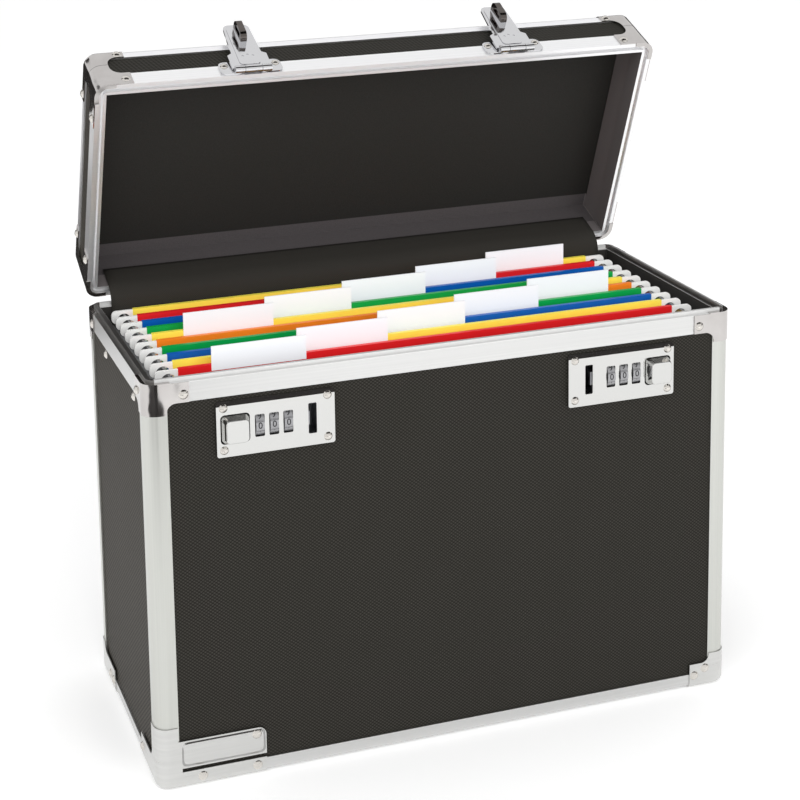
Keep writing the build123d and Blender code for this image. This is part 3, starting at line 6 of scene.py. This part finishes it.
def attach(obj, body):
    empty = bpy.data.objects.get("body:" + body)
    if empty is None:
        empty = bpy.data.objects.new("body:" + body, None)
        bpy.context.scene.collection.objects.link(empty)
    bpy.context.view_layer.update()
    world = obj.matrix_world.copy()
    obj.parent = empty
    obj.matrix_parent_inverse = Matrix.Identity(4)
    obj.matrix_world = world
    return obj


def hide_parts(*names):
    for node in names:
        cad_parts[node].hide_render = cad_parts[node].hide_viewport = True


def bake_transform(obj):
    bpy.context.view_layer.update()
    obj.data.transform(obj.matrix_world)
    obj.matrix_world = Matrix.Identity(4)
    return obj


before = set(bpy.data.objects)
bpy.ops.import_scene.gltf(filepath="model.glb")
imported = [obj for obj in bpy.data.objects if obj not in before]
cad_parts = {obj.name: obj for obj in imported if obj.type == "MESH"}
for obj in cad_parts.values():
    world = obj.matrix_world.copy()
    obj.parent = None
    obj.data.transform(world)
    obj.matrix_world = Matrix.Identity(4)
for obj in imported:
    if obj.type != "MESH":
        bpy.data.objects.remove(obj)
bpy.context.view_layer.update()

bpy.ops.object.select_all(action="DESELECT")

# === camera ===
# A long lens in front of the box, to its left and a little above its rim.
IMAGE = 800
SENSOR_WIDE = 36
FOCAL = 1819.7
AXIS_X, AXIS_Y = 300, 50
CAMERA_PLACE = (-0.40343, -1.08624, 0.62195)
yaw, pitch, roll = math.radians(17.462), math.radians(-9.63), math.radians(-1.312)
ahead = Vector((math.sin(yaw) * math.cos(pitch), math.cos(yaw) * math.cos(pitch), math.sin(pitch)))
level = ahead.cross(Vector((0, 0, 1))).normalized()
upright = level.cross(ahead)
right = level * math.cos(roll) + upright * math.sin(roll)
up = upright * math.cos(roll) - level * math.sin(roll)
lens = bpy.data.cameras.new("camera")
lens.lens = SENSOR_WIDE * FOCAL / IMAGE
lens.shift_x = 0.5 - AXIS_X / IMAGE
lens.shift_y = AXIS_Y / IMAGE - 0.5
lens.clip_end = 100
camera = bpy.data.objects.new("camera", lens)
turn = Matrix((right, up, -ahead)).transposed().to_4x4()
camera.matrix_world = Matrix.Translation(CAMERA_PLACE) @ turn
bpy.context.scene.collection.objects.link(camera)
bpy.context.scene.camera = camera
bpy.context.scene.view_settings.view_transform = "Standard"


# === studio ===
# A white room: a pale floor, a soft lamp high on the left and a larger one in front, and dark grey
# cards out of sight that give the bright metal something dark to mirror.
class Value:
    """A socket of a finish, so that shader sums read as arithmetic."""

    def __init__(self, finish, socket):
        self.finish = finish
        self.socket = socket

    def sum(self, operation, other, swapped=False):
        pair = {0: other, 1: self} if swapped else {0: self, 1: other}
        return self.finish.node("ShaderNodeMath", {"operation": operation}, pair)

    def __add__(self, other):
        return self.sum("ADD", other)

    def __sub__(self, other):
        return self.sum("SUBTRACT", other)

    def __rsub__(self, other):
        return self.sum("SUBTRACT", other, True)

    def __mul__(self, other):
        return self.sum("MULTIPLY", other)

    def __gt__(self, other):
        return self.sum("GREATER_THAN", other)

    def __lt__(self, other):
        return self.sum("LESS_THAN", other)

    __radd__ = __add__
    __rmul__ = __mul__

    def wave(self):
        return self.sum("SINE", 0)

    def size(self):
        return self.sum("ABSOLUTE", 0)


class Finish:
    """A material of nodes on one shader; colours are as the eye sees them, from 0 to 255."""

    def __init__(self, name, colour=(255, 255, 255), **settings):
        self.material = bpy.data.materials.new(name)
        self.material.use_nodes = True
        self.tree = self.material.node_tree
        self.shader = self.tree.nodes["Principled BSDF"]
        self.give("Base Color", self.tint(colour))
        for word, value in settings.items():
            self.give(word.replace("_", " ").title(), value)
        self.place = self.node("ShaderNodeTexCoord", output=3)
        self.x, self.y, self.z = (
            self.node("ShaderNodeSeparateXYZ", {}, {0: self.place}, axis) for axis in range(3)
        )

    def tint(self, colour):
        parts = [c / 255 for c in colour]
        return [c / 12.92 if c < 0.04045 else ((c + 0.055) / 1.055) ** 2.4 for c in parts] + [1]

    def node(self, kind, settings=None, sockets=None, output=0):
        made = self.tree.nodes.new(kind)
        for word, value in (settings or {}).items():
            setattr(made, word, value)
        for key, value in (sockets or {}).items():
            if isinstance(value, Value):
                self.tree.links.new(value.socket, made.inputs[key])
            else:
                made.inputs[key].default_value = value
        return Value(self, made.outputs[output])

    def give(self, word, value):
        if isinstance(value, Value):
            self.tree.links.new(value.socket, self.shader.inputs[word])
        else:
            self.shader.inputs[word].default_value = value

    def mix(self, share, first, second):
        """Colour second laid over first by a share from 0 to 1."""
        sockets = {0: share}
        for key, colour in ((6, first), (7, second)):
            sockets[key] = colour if isinstance(colour, Value) else self.tint(colour)
        return self.node("ShaderNodeMix", {"data_type": "RGBA"}, sockets, 2)

    def noise(self, scale, detail=2, stretch=(1, 1, 1)):
        """Cloudy values about 0.5, with scale waves to a metre, stretched along an axis."""
        along = self.node("ShaderNodeMapping", {}, {"Vector": self.place, "Scale": stretch})
        return self.node("ShaderNodeTexNoise", {}, {"Vector": along, "Scale": scale, "Detail": detail})

    def bump(self, height, distance, strength=1.0):
        sockets = {"Height": height, "Distance": distance, "Strength": strength}
        self.give("Normal", self.node("ShaderNodeBump", {}, sockets))


def dress(finish, *names):
    """Gives CAD nodes a finish."""
    for name in names:
        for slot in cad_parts[name].material_slots:
            slot.material = finish.material


FLOOR_WIDE = 60
floor_finish = Finish("floor_white", (250, 250, 250), roughness=0.9)
floor_finish.give("Emission Color", floor_finish.tint((255, 255, 255)))
floor_finish.give("Emission Strength", 0.2)
bpy.ops.mesh.primitive_plane_add(size=FLOOR_WIDE, location=(0, 0, 0))
floor = bpy.context.object
floor.name = "floor"
floor.data.materials.append(floor_finish.material)

DAYLIGHT = 0.8
world = bpy.data.worlds.new("room")
bpy.context.scene.world = world
world.use_nodes = True
nodes, links = world.node_tree.nodes, world.node_tree.links
path = nodes.new("ShaderNodeLightPath")
seen = nodes.new("ShaderNodeMath")
seen.operation = "ADD"
links.new(path.outputs["Is Camera Ray"], seen.inputs[0])
links.new(path.outputs["Is Glossy Ray"], seen.inputs[1])
also = nodes.new("ShaderNodeMath")
also.operation = "ADD"
also.use_clamp = True
links.new(seen.outputs[0], also.inputs[0])
links.new(path.outputs["Is Transmission Ray"], also.inputs[1])
strength = nodes.new("ShaderNodeMapRange")
strength.inputs["To Min"].default_value = DAYLIGHT
links.new(also.outputs[0], strength.inputs["Value"])
links.new(strength.outputs[0], nodes["Background"].inputs["Strength"])
nodes["Background"].inputs["Color"].default_value = (1, 1, 1, 1)

BOX_MIDDLE = Vector((0, 0, 0.25))
for name, size, watts, place in (
    ("lamp_high", 1.6, 14, (-1.3, -1.5, 2.1)),
    ("lamp_front", 2.2, 46, (0.3, -2.9, 1.3)),
):
    lamp = bpy.data.lights.new(name, "AREA")
    lamp.size = size
    lamp.energy = watts
    lamp_place = bpy.data.objects.new(name, lamp)
    aim = (BOX_MIDDLE - Vector(place)).to_track_quat("-Z", "Y").to_matrix().to_4x4()
    lamp_place.matrix_world = Matrix.Translation(place) @ aim
    lamp_place.visible_glossy = False
    bpy.context.scene.collection.objects.link(lamp_place)

card_finish = Finish("card_grey", (42, 39, 38), roughness=1.0)
for name, size, place, angles in (
    ("card_above", (3.0, 1.3, 1), (0.4, -0.65, 1.75), (0, 0, 0)),
    ("card_right", (0.8, 1.0, 1), (1.9, -0.5, 0.75), (0, 90, 0)),
    ("card_low", (0.3, 0.42, 1), (-0.175, -0.83, 0.004), (0, 0, 12)),
    ("card_corner", (0.9, 0.32, 1), (-0.62, -0.7, 0.004), (0, 0, -30)),
    ("card_back_left", (1.3, 0.7, 1), (-0.95, 1.7, 0.4), (90, 0, 0)),
    ("card_behind", (2.2, 0.7, 1), (0.9, 1.7, 0.9), (90, 0, 0)),
    ("card_left", (1.0, 1.0, 1), (-1.3, 0.9, 1.4), (0, 90, 0)),
    ("card_back_low", (0.9, 0.8, 1), (-0.6, 1.15, 0.004), (0, 0, 0)),
):
    bpy.ops.mesh.primitive_plane_add(size=1, location=place, rotation=[math.radians(a) for a in angles])
    card = bpy.context.object
    card.name = name
    card.scale = size
    card.data.materials.append(card_finish.material)
    card.visible_camera = card.visible_diffuse = card.visible_shadow = False
    card.visible_transmission = False
bpy.ops.object.select_all(action="DESELECT")

# === panels ===
# Board covered with a black foil that is embossed with a fine slanted lattice. Each is held by its
# edges in the aluminium profiles. The light and dark of the lattice in the colour are painted
# highlight and shade of the embossing. On the sides the painted ribs are coarser and of stronger
# contrast, and one slant of them is stronger than the other, as painted shade of the embossing
# seen at a grazing angle.
GRAIN_WIDE, GRAIN_HIGH = 0.0027, 0.0021
SIDE_GRAIN_DEEP, SIDE_GRAIN_HIGH = 0.0036, 0.003
SIDE_FACE = 0.1906
WEAK_SLANT = 0.4
foil = Finish("black_foil", roughness=0.5)
across, upward = (foil.x + foil.y) * (math.pi / GRAIN_WIDE), foil.z * (math.pi / GRAIN_HIGH)
lattice = (across + upward).wave().size() * (across - upward).wave().size()
backward, rise = foil.y * (math.pi / SIDE_GRAIN_DEEP), foil.z * (math.pi / SIDE_GRAIN_HIGH)
weak_slant_shade = (backward - rise).wave().size() * WEAK_SLANT + (1 - WEAK_SLANT)
rib_shade = (backward + rise).wave().size() * weak_slant_shade
# Painted highlight and shade of the embossing, stronger on the sides.
face_emboss_shading = foil.mix(lattice, (27, 26, 23), (62, 60, 56))
side_emboss_shading = foil.mix(rib_shade, (10, 9, 7), (79, 74, 67))
emboss_shading = foil.mix(foil.x.size() > SIDE_FACE, face_emboss_shading, side_emboss_shading)
foil.give("Base Color", foil.mix(foil.noise(30, 3) * 0.3, emboss_shading, (38, 37, 33)))
foil.bump(lattice, 0.0002, 0.5)
foil.give("Specular IOR Level", 0.05)
dress(foil, "front_panel", "back_panel", "side_panels", "lid_front_panel", "lid_back_panel")
dress(foil, "lid_side_panels", "lid_top_panel", "bottom_panel")

# === linings ===
# Thin foil glued over the inner faces of the body and the lid. The lid's greys are painted light and
# shade on one foil: its walls are lighter than its ceiling, its end walls the lightest, and the back
# wall's sheet laps onto the ceiling.
LID_ANGLE = math.radians(67.5)
HINGE_LINE = Vector((0, 0.071, 0.2566))
CEILING_DEPTH = 0.0335
LAP = 0.0205
END_WALL_X = 0.1858
lining = Finish("lining_grey", roughness=0.75)
lining.give("Base Color", lining.mix(lining.noise(900, 2), (38, 36, 35), (52, 50, 49)))
lining.bump(lining.noise(1500, 2), 0.0002, 0.3)
lining.give("Specular IOR Level", 0.25)
dress(lining, "body_lining")


def from_hinge(finish):
    """How deep in the leaning lid a point lies, and how far out from its hinge."""
    back, high = finish.y - HINGE_LINE.y, finish.z - HINGE_LINE.z
    deep = back * math.sin(LID_ANGLE) + high * math.cos(LID_ANGLE)
    return deep, high * math.sin(LID_ANGLE) - back * math.cos(LID_ANGLE)


lid_lining = Finish("lid_lining_grey", roughness=0.75)
deep, out = from_hinge(lid_lining)
speckle = lid_lining.noise(1200, 2)
# The walls' paler greys are painted light, the ceiling's darker grey painted shade.
wall_speckle_and_light = lid_lining.mix(speckle, (68, 64, 65), (86, 82, 83))
wall_speckle_and_light = lid_lining.mix(lid_lining.x.size() > END_WALL_X, wall_speckle_and_light, (108, 102, 102))
roof_speckle_and_shade = lid_lining.mix(speckle, (33, 32, 30), (45, 44, 42))
ceiling = (deep > CEILING_DEPTH) * (out > LAP)
lid_lining.give("Base Color", lid_lining.mix(ceiling, wall_speckle_and_light, roof_speckle_and_shade))
lid_lining.bump(speckle, 0.0002, 0.3)
lid_lining.give("Specular IOR Level", 0.2)
dress(lid_lining, "lid_lining")

# === profiles ===
# Extruded aluminium, anodised satin, with faint drawing lines along each length. The linings run up
# over the inner faces of both rims. The tops of the body's end rims are toned down, the right one only
# along its inner edge, to stand for something dark that they mirror.
LINES = 260
ALONG_X, ALONG_X_AND_Y, ALONG_Z = (0.02, 4, 4), (0.02, 0.02, 4), (4, 4, 0.02)
BODY_Y = -0.0165
RIM_IN_X, RIM_IN_Y, RIM_TOP = 0.18556, 0.07606, 0.2556
DARK_TOP_X = 0.1885
LID_MIDDLE_OUT, LID_EDGE = 0.0875, 0.001


def drawn_metal(name, stretch, dark, light):
    """Satin aluminium with its drawing lines along the axis that stretch leaves long."""
    finish = Finish(name, metallic=1.0)
    lines = finish.noise(LINES, 3, stretch)
    finish.give("Base Color", finish.mix(lines, dark, light))
    finish.give("Roughness", lines * 0.1 + 0.29)
    return finish


# The lid's profiles get a paler tone than the body's and the uprights a darker one: painted light and
# shade on one metal.
base_metal = drawn_metal("satin_base", ALONG_X_AND_Y, (199, 199, 198), (215, 215, 214))
dress(base_metal, "base_profiles")
lid_metal = drawn_metal("satin_lid", ALONG_X, (238, 238, 240), (252, 252, 254))
dress(lid_metal, "lid_top_profiles")
upright_metal = drawn_metal("satin_upright", ALONG_Z, (194, 195, 190), (207, 208, 203))
dress(upright_metal, "upright_profiles", "lid_corner_posts")

rim = Finish("satin_rim")
bare = rim.mix(rim.noise(LINES, 3, ALONG_X_AND_Y), (202, 202, 201), (217, 217, 216))
within = rim.x.size() < RIM_IN_X
on_top = rim.z > RIM_TOP
end_top = (rim.x.size() > RIM_IN_X) * (rim.x < DARK_TOP_X) * on_top
inward = within * ((rim.y - BODY_Y).size() < RIM_IN_Y) * (rim.z < RIM_TOP)
rim.give("Base Color", rim.mix(inward, rim.mix(end_top, bare, (124, 122, 120)), (44, 42, 40)))
rim.give("Metallic", inward * -0.88 + within * on_top * -0.6 + 0.88)
rim.give("Roughness", inward * 0.4 + 0.33)
dress(rim, "body_rim")

lid_rim = Finish("satin_lid_rim")
deep, out = from_hinge(lid_rim)
# Paler than the body's rim: painted light on the same metal.
bare = lid_rim.mix(lid_rim.noise(LINES, 3, ALONG_X), (232, 232, 233), (248, 248, 249))
within = (lid_rim.x.size() < RIM_IN_X) * ((out - LID_MIDDLE_OUT).size() < RIM_IN_Y)
inward = within * (deep > LID_EDGE)
lid_rim.give("Base Color", lid_rim.mix(inward, bare, (98, 93, 93)))
lid_rim.give("Metallic", inward * -0.9 + 0.9)
lid_rim.give("Roughness", inward * 0.4 + 0.33)
dress(lid_rim, "lid_rim")

# === corner caps and rivets ===
# Pressed steel sheet, wrapped round each corner and fixed with domed rivets. The upper caps are
# chromed and the lower ones brushed, and the long one at the front left has a bare raised plate.
BADGE_X, BADGE_Z = -0.1515, 0.0222
BADGE_HALF_WIDE, BADGE_HALF_HIGH = 0.0262, 0.0078
BADGE_ROUND, BADGE_EDGE, BADGE_RISE = 0.005, 0.0012, 0.0016
cap_chrome = Finish("chromed_sheet", metallic=1.0)
smear = cap_chrome.noise(60, 3)
cap_chrome.give("Roughness", smear * 0.08 + 0.05)
cap_chrome.give("Base Color", cap_chrome.mix(smear, (176, 172, 170), (204, 201, 199)))
cap_chrome.bump(cap_chrome.noise(42, 1), 0.0012)
dress(cap_chrome, "body_top_caps", "lid_top_caps", "lid_rim_caps")


def brushed_sheet(name):
    """Brushed steel of the lower caps."""
    sheet = Finish(name, metallic=1.0)
    grain = sheet.noise(500, 3, (0.05, 0.05, 1))
    sheet.give("Roughness", grain * 0.12 + 0.24)
    sheet.give("Base Color", sheet.mix(grain, (198, 198, 196), (216, 216, 214)))
    return sheet


dress(brushed_sheet("satin_sheet"), "base_caps")
badge = brushed_sheet("satin_badge")
past_end = (badge.x - BADGE_X).size() - BADGE_HALF_WIDE
past_top = (badge.z - BADGE_Z).size() - BADGE_HALF_HIGH
rounded = {0: past_end, 1: past_top, 2: BADGE_ROUND}
outside = badge.node("ShaderNodeMath", {"operation": "SMOOTH_MAX"}, rounded)
badge.bump((outside * (-1 / BADGE_EDGE)).sum("MAXIMUM", 0).sum("MINIMUM", 1), BADGE_RISE)
dress(badge, "badge_cap")
rivet_steel = Finish("rivet_steel", (212, 208, 202), metallic=1.0, roughness=0.2)
dress(rivet_steel, "body_rivets", "lid_rivets")

# === locks ===
# Chromed zinc plates on the front panel, each with a sprung button, three number wheels and a slot
# that the hasp's staple goes into.
chrome = Finish("polished_chrome", (204, 204, 202), metallic=1.0)
chrome.give("Roughness", chrome.noise(120, 3) * 0.1 + 0.03)
dress(chrome, "lock_plates", "lock_button_left", "lock_button_right")

# === hasps and handle brackets ===
# Chromed metal. The hasps turn on pins in bases on the lid's front, and the brackets hold the
# handle on its top. The staple that goes into the lock's slot is darker.
STAPLE_X, STAPLE_HALF, STAPLE_OUT = 0.091, 0.0023, 0.1788
hasp_chrome = Finish("hasp_chrome", metallic=1.0)
out = from_hinge(hasp_chrome)[1]
staple = ((hasp_chrome.x.size() - STAPLE_X).size() < STAPLE_HALF) * (out > STAPLE_OUT)
hasp_chrome.give("Base Color", hasp_chrome.mix(staple, (208, 208, 210), (92, 87, 84)))
hasp_chrome.give("Roughness", hasp_chrome.noise(160, 3) * 0.12 + 0.04)
hasp_chrome.bump(hasp_chrome.noise(110, 1), 0.0006)
dress(hasp_chrome, "hasp_bases", "hasp_left", "hasp_right", "handle_brackets")

# === plain steel pieces ===
# Zinc-plated steel with a cloudy grey face: the lock cases and their works, the rails that the files
# hang on, the long hinge at the back and the pins.
zinc = Finish("zinc_steel", metallic=1.0, roughness=0.4)
zinc.give("Base Color", zinc.mix(zinc.noise(300, 3), (120, 121, 124), (170, 171, 174)))
dress(zinc, "lock_housings", "file_rails", "hinge_body_leaf", "hinge_lid_leaf", "dial_shafts")
dress(zinc, "hinge_pin", "hasp_pins", "lock_bolt_left", "lock_bolt_right")

# === number wheels ===
# Turned metal wheels, with ten plain digits round each in dark paint, a hair proud of the metal.
DIAL_R = 0.0095
DIAL_LINE = Vector((0, -0.0935, 0.224))
DIAL_X = (0.1062, 0.115, 0.1238)
DIGITS = 10
DIGIT_HIGH, DIGIT_PROUD, DIGIT_BOLD = 0.0056, 0.00006, 0.00008
dial_metal = Finish("dial_metal", (160, 160, 162), metallic=1.0)
dial_metal.give("Roughness", dial_metal.noise(700, 2) * 0.2 + 0.2)
paint = Finish("digit_paint", roughness=0.55)
paint.give("Base Color", paint.mix(paint.noise(2500, 2), (22, 22, 24), (52, 52, 54)))
for side, word in ((-1, "left"), (1, "right")):
    for number, dial_x in enumerate(DIAL_X, start=1):
        dress(dial_metal, f"dial_{word}_{number}")
        digits = []
        for digit in range(DIGITS):
            bpy.ops.object.text_add(location=(0, 0, 0))
            text = bpy.context.object
            text.data.body = str(digit)
            text.data.size = DIGIT_HIGH
            text.data.align_x, text.data.align_y = "CENTER", "CENTER"
            text.data.extrude = DIGIT_PROUD
            text.data.offset = DIGIT_BOLD
            text.data.resolution_u = 3
            bpy.ops.object.convert(target="MESH")
            for vertex in text.data.vertices:
                angle = math.radians(-360 / DIGITS * digit) + vertex.co.y / DIAL_R
                reach = DIAL_R + vertex.co.z
                vertex.co = DIAL_LINE + Vector((
                    side * dial_x + vertex.co.x, -reach * math.cos(angle), reach * math.sin(angle)
                ))
            digits.append(text)
        bpy.ops.object.select_all(action="DESELECT")
        for text in digits:
            text.select_set(True)
        bpy.context.view_layer.objects.active = digits[0]
        bpy.ops.object.join()
        ring = bpy.context.object
        ring.name = f"dial_{word}_{number}_digits"
        ring.data.materials.clear()
        ring.data.materials.append(paint.material)
        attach(ring, f"dial_{word}_{number}")
        bpy.ops.object.select_all(action="DESELECT")

# === handle ===
# Moulded black plastic with a fine grain, on two brackets of the lid's top.
grip = Finish("handle_plastic", roughness=0.5)
grip.give("Base Color", grip.mix(grip.noise(60, 3), (28, 28, 28), (40, 40, 40)))
grip.bump(grip.noise(1800, 2), 0.0003, 0.3)
dress(grip, "handle")

# === hinge flap ===
# One strip of black coated fabric, glued to both linings, that crosses the hinge inside and hides it.
# Open, it bows round the hinge line.
FLAP_HALF = 0.178
FLAP_SHEET = 0.0007
GLUED_Y, FREE_Y = 0.0757, 0.0752
BODY_EDGE, LID_EDGE_SHUT = 0.2556, 0.2576
BOW, BOW_STEPS = 0.0022, 8
THREADS = 4200
RIPPLE, RIPPLE_ROW, RIPPLE_ROWS = 0.00035, 11, 5
LONG_WAVE, SHORT_WAVE = 41, 95
COLUMNS = 60


def in_lid(y, z):
    """Where the leaning lid carries a point that is given with the lid shut."""
    out, rise = y + BODY_Y - HINGE_LINE.y, z - HINGE_LINE.z
    return (
        HINGE_LINE.y + out * math.cos(LID_ANGLE) + rise * math.sin(LID_ANGLE),
        HINGE_LINE.z - out * math.sin(LID_ANGLE) + rise * math.cos(LID_ANGLE),
    )


cloth = Finish("flap_cloth", roughness=0.85)
threads = (cloth.x * THREADS).wave() * ((cloth.z + cloth.y) * THREADS).wave()
cloth.give("Base Color", cloth.mix(threads * 0.5 + 0.5, (40, 38, 35), (54, 52, 48)))
cloth.bump(threads, 0.0001, 0.4)
cloth.give("Specular IOR Level", 0.25)
body_end, lid_end = (FREE_Y + BODY_Y, BODY_EDGE), in_lid(FREE_Y, LID_EDGE_SHUT)
line = [(GLUED_Y + BODY_Y, z) for z in (0.2290, 0.2330, 0.2370, 0.2410)]
line += [(FREE_Y + BODY_Y, z) for z in (0.2445, 0.2480, 0.2520)]
middle_turn = math.atan2(lid_end[0] - body_end[0], lid_end[1] - body_end[1])
for step in range(BOW_STEPS + 1):
    share = step / BOW_STEPS
    bow = BOW * math.sin(math.pi * share)
    y = body_end[0] + (lid_end[0] - body_end[0]) * share - bow * math.cos(middle_turn)
    z = body_end[1] + (lid_end[1] - body_end[1]) * share + bow * math.sin(middle_turn)
    line.append((y, z))
line += [in_lid(FREE_Y, z) for z in (0.2610, 0.2650, 0.2690)]
line += [in_lid(GLUED_Y, z) for z in (0.2720, 0.2745)]
vertices, faces = [], []
for column in range(COLUMNS + 1):
    x = FLAP_HALF * (2 * column / COLUMNS - 1)
    for row, (y, z) in enumerate(line):
        loose = max(0.0, 1 - abs(row - RIPPLE_ROW) / RIPPLE_ROWS)
        ripple = RIPPLE * loose * (math.sin(x * SHORT_WAVE) + math.sin(x * LONG_WAVE + 1))
        vertices.append((x, y - ripple, z))
        if column and row:
            here = column * len(line) + row
            faces.append((here, here - len(line), here - len(line) - 1, here - 1))
flap_mesh = bpy.data.meshes.new("hinge_flap")
flap_mesh.from_pydata(vertices, [], faces)
flap = bpy.data.objects.new("hinge_flap", flap_mesh)
bpy.context.scene.collection.objects.link(flap)
bpy.context.view_layer.objects.active = flap
flap.select_set(True)
thick = flap.modifiers.new("thickness", "SOLIDIFY")
thick.thickness = FLAP_SHEET
thick.offset = 0
bpy.ops.object.modifier_apply(modifier=thick.name)
bpy.ops.object.shade_smooth()
flap.select_set(False)
flap.data.materials.append(cloth.material)
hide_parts("flap_body_end", "flap_lid_end")
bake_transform(flap)

# === hanging files ===
# Each is a coloured plastic folder folded over a flat bar, whose pale ends hook on the rails, with
# a white index tab. The finish has a weak glow, which the real plastic hasn't, that keeps the colours
# clear in the shade.
BACK_BAR_Y, FILE_PITCH = 0.0534, 0.0138
FIRST_TAB_X, TAB_STEP, TAB_PLACES = 0.117, 0.058, 5
TAB_HALF, TAB_LOW, TAB_FREE = 0.03, 0.2508, 0.25465
TAB_BACK, TAB_FRONT = 0.00151, 0.0028
BAR_END_X = 0.1652
SHEET_DIMMED, GLOW = 0.75, 0.38
FILE_COLOURS = {
    "yellow": (255, 238, 88), "red": (236, 34, 38), "blue": (4, 92, 184), "green": (6, 166, 74),
    "orange": (255, 134, 34),
}
ORDER = ("yellow", "red", "blue", "green", "yellow", "orange", "green", "blue", "yellow", "red")
for index, word in enumerate(ORDER):
    name = f"file_{index + 1:02d}"
    bar_y = BACK_BAR_Y - FILE_PITCH * index
    tab_x = FIRST_TAB_X - TAB_STEP * (index % TAB_PLACES)
    shade = FILE_COLOURS[word]
    folder = Finish(f"{name}_{word}", roughness=0.38)
    sheet = folder.mix(folder.noise(40, 3), [c * 0.94 for c in shade], shade)
    before_bar = (folder.y < bar_y - TAB_BACK) * (folder.y > bar_y - TAB_FRONT)
    near_tab = (folder.x - tab_x).size() < TAB_HALF
    index_tab = ((folder.z > TAB_FREE) + (folder.z > TAB_LOW) * before_bar * near_tab) > 0.5
    face = folder.mix(folder.x.size() > BAR_END_X, sheet, (243, 243, 241))
    folder.give("Base Color", folder.mix(index_tab, face, (203, 206, 210)))
    glow = folder.mix(SHEET_DIMMED, face, (0, 0, 0))
    folder.give("Emission Color", folder.mix(index_tab, glow, (246, 246, 249)))
    folder.give("Emission Strength", GLOW)
    dress(folder, name)
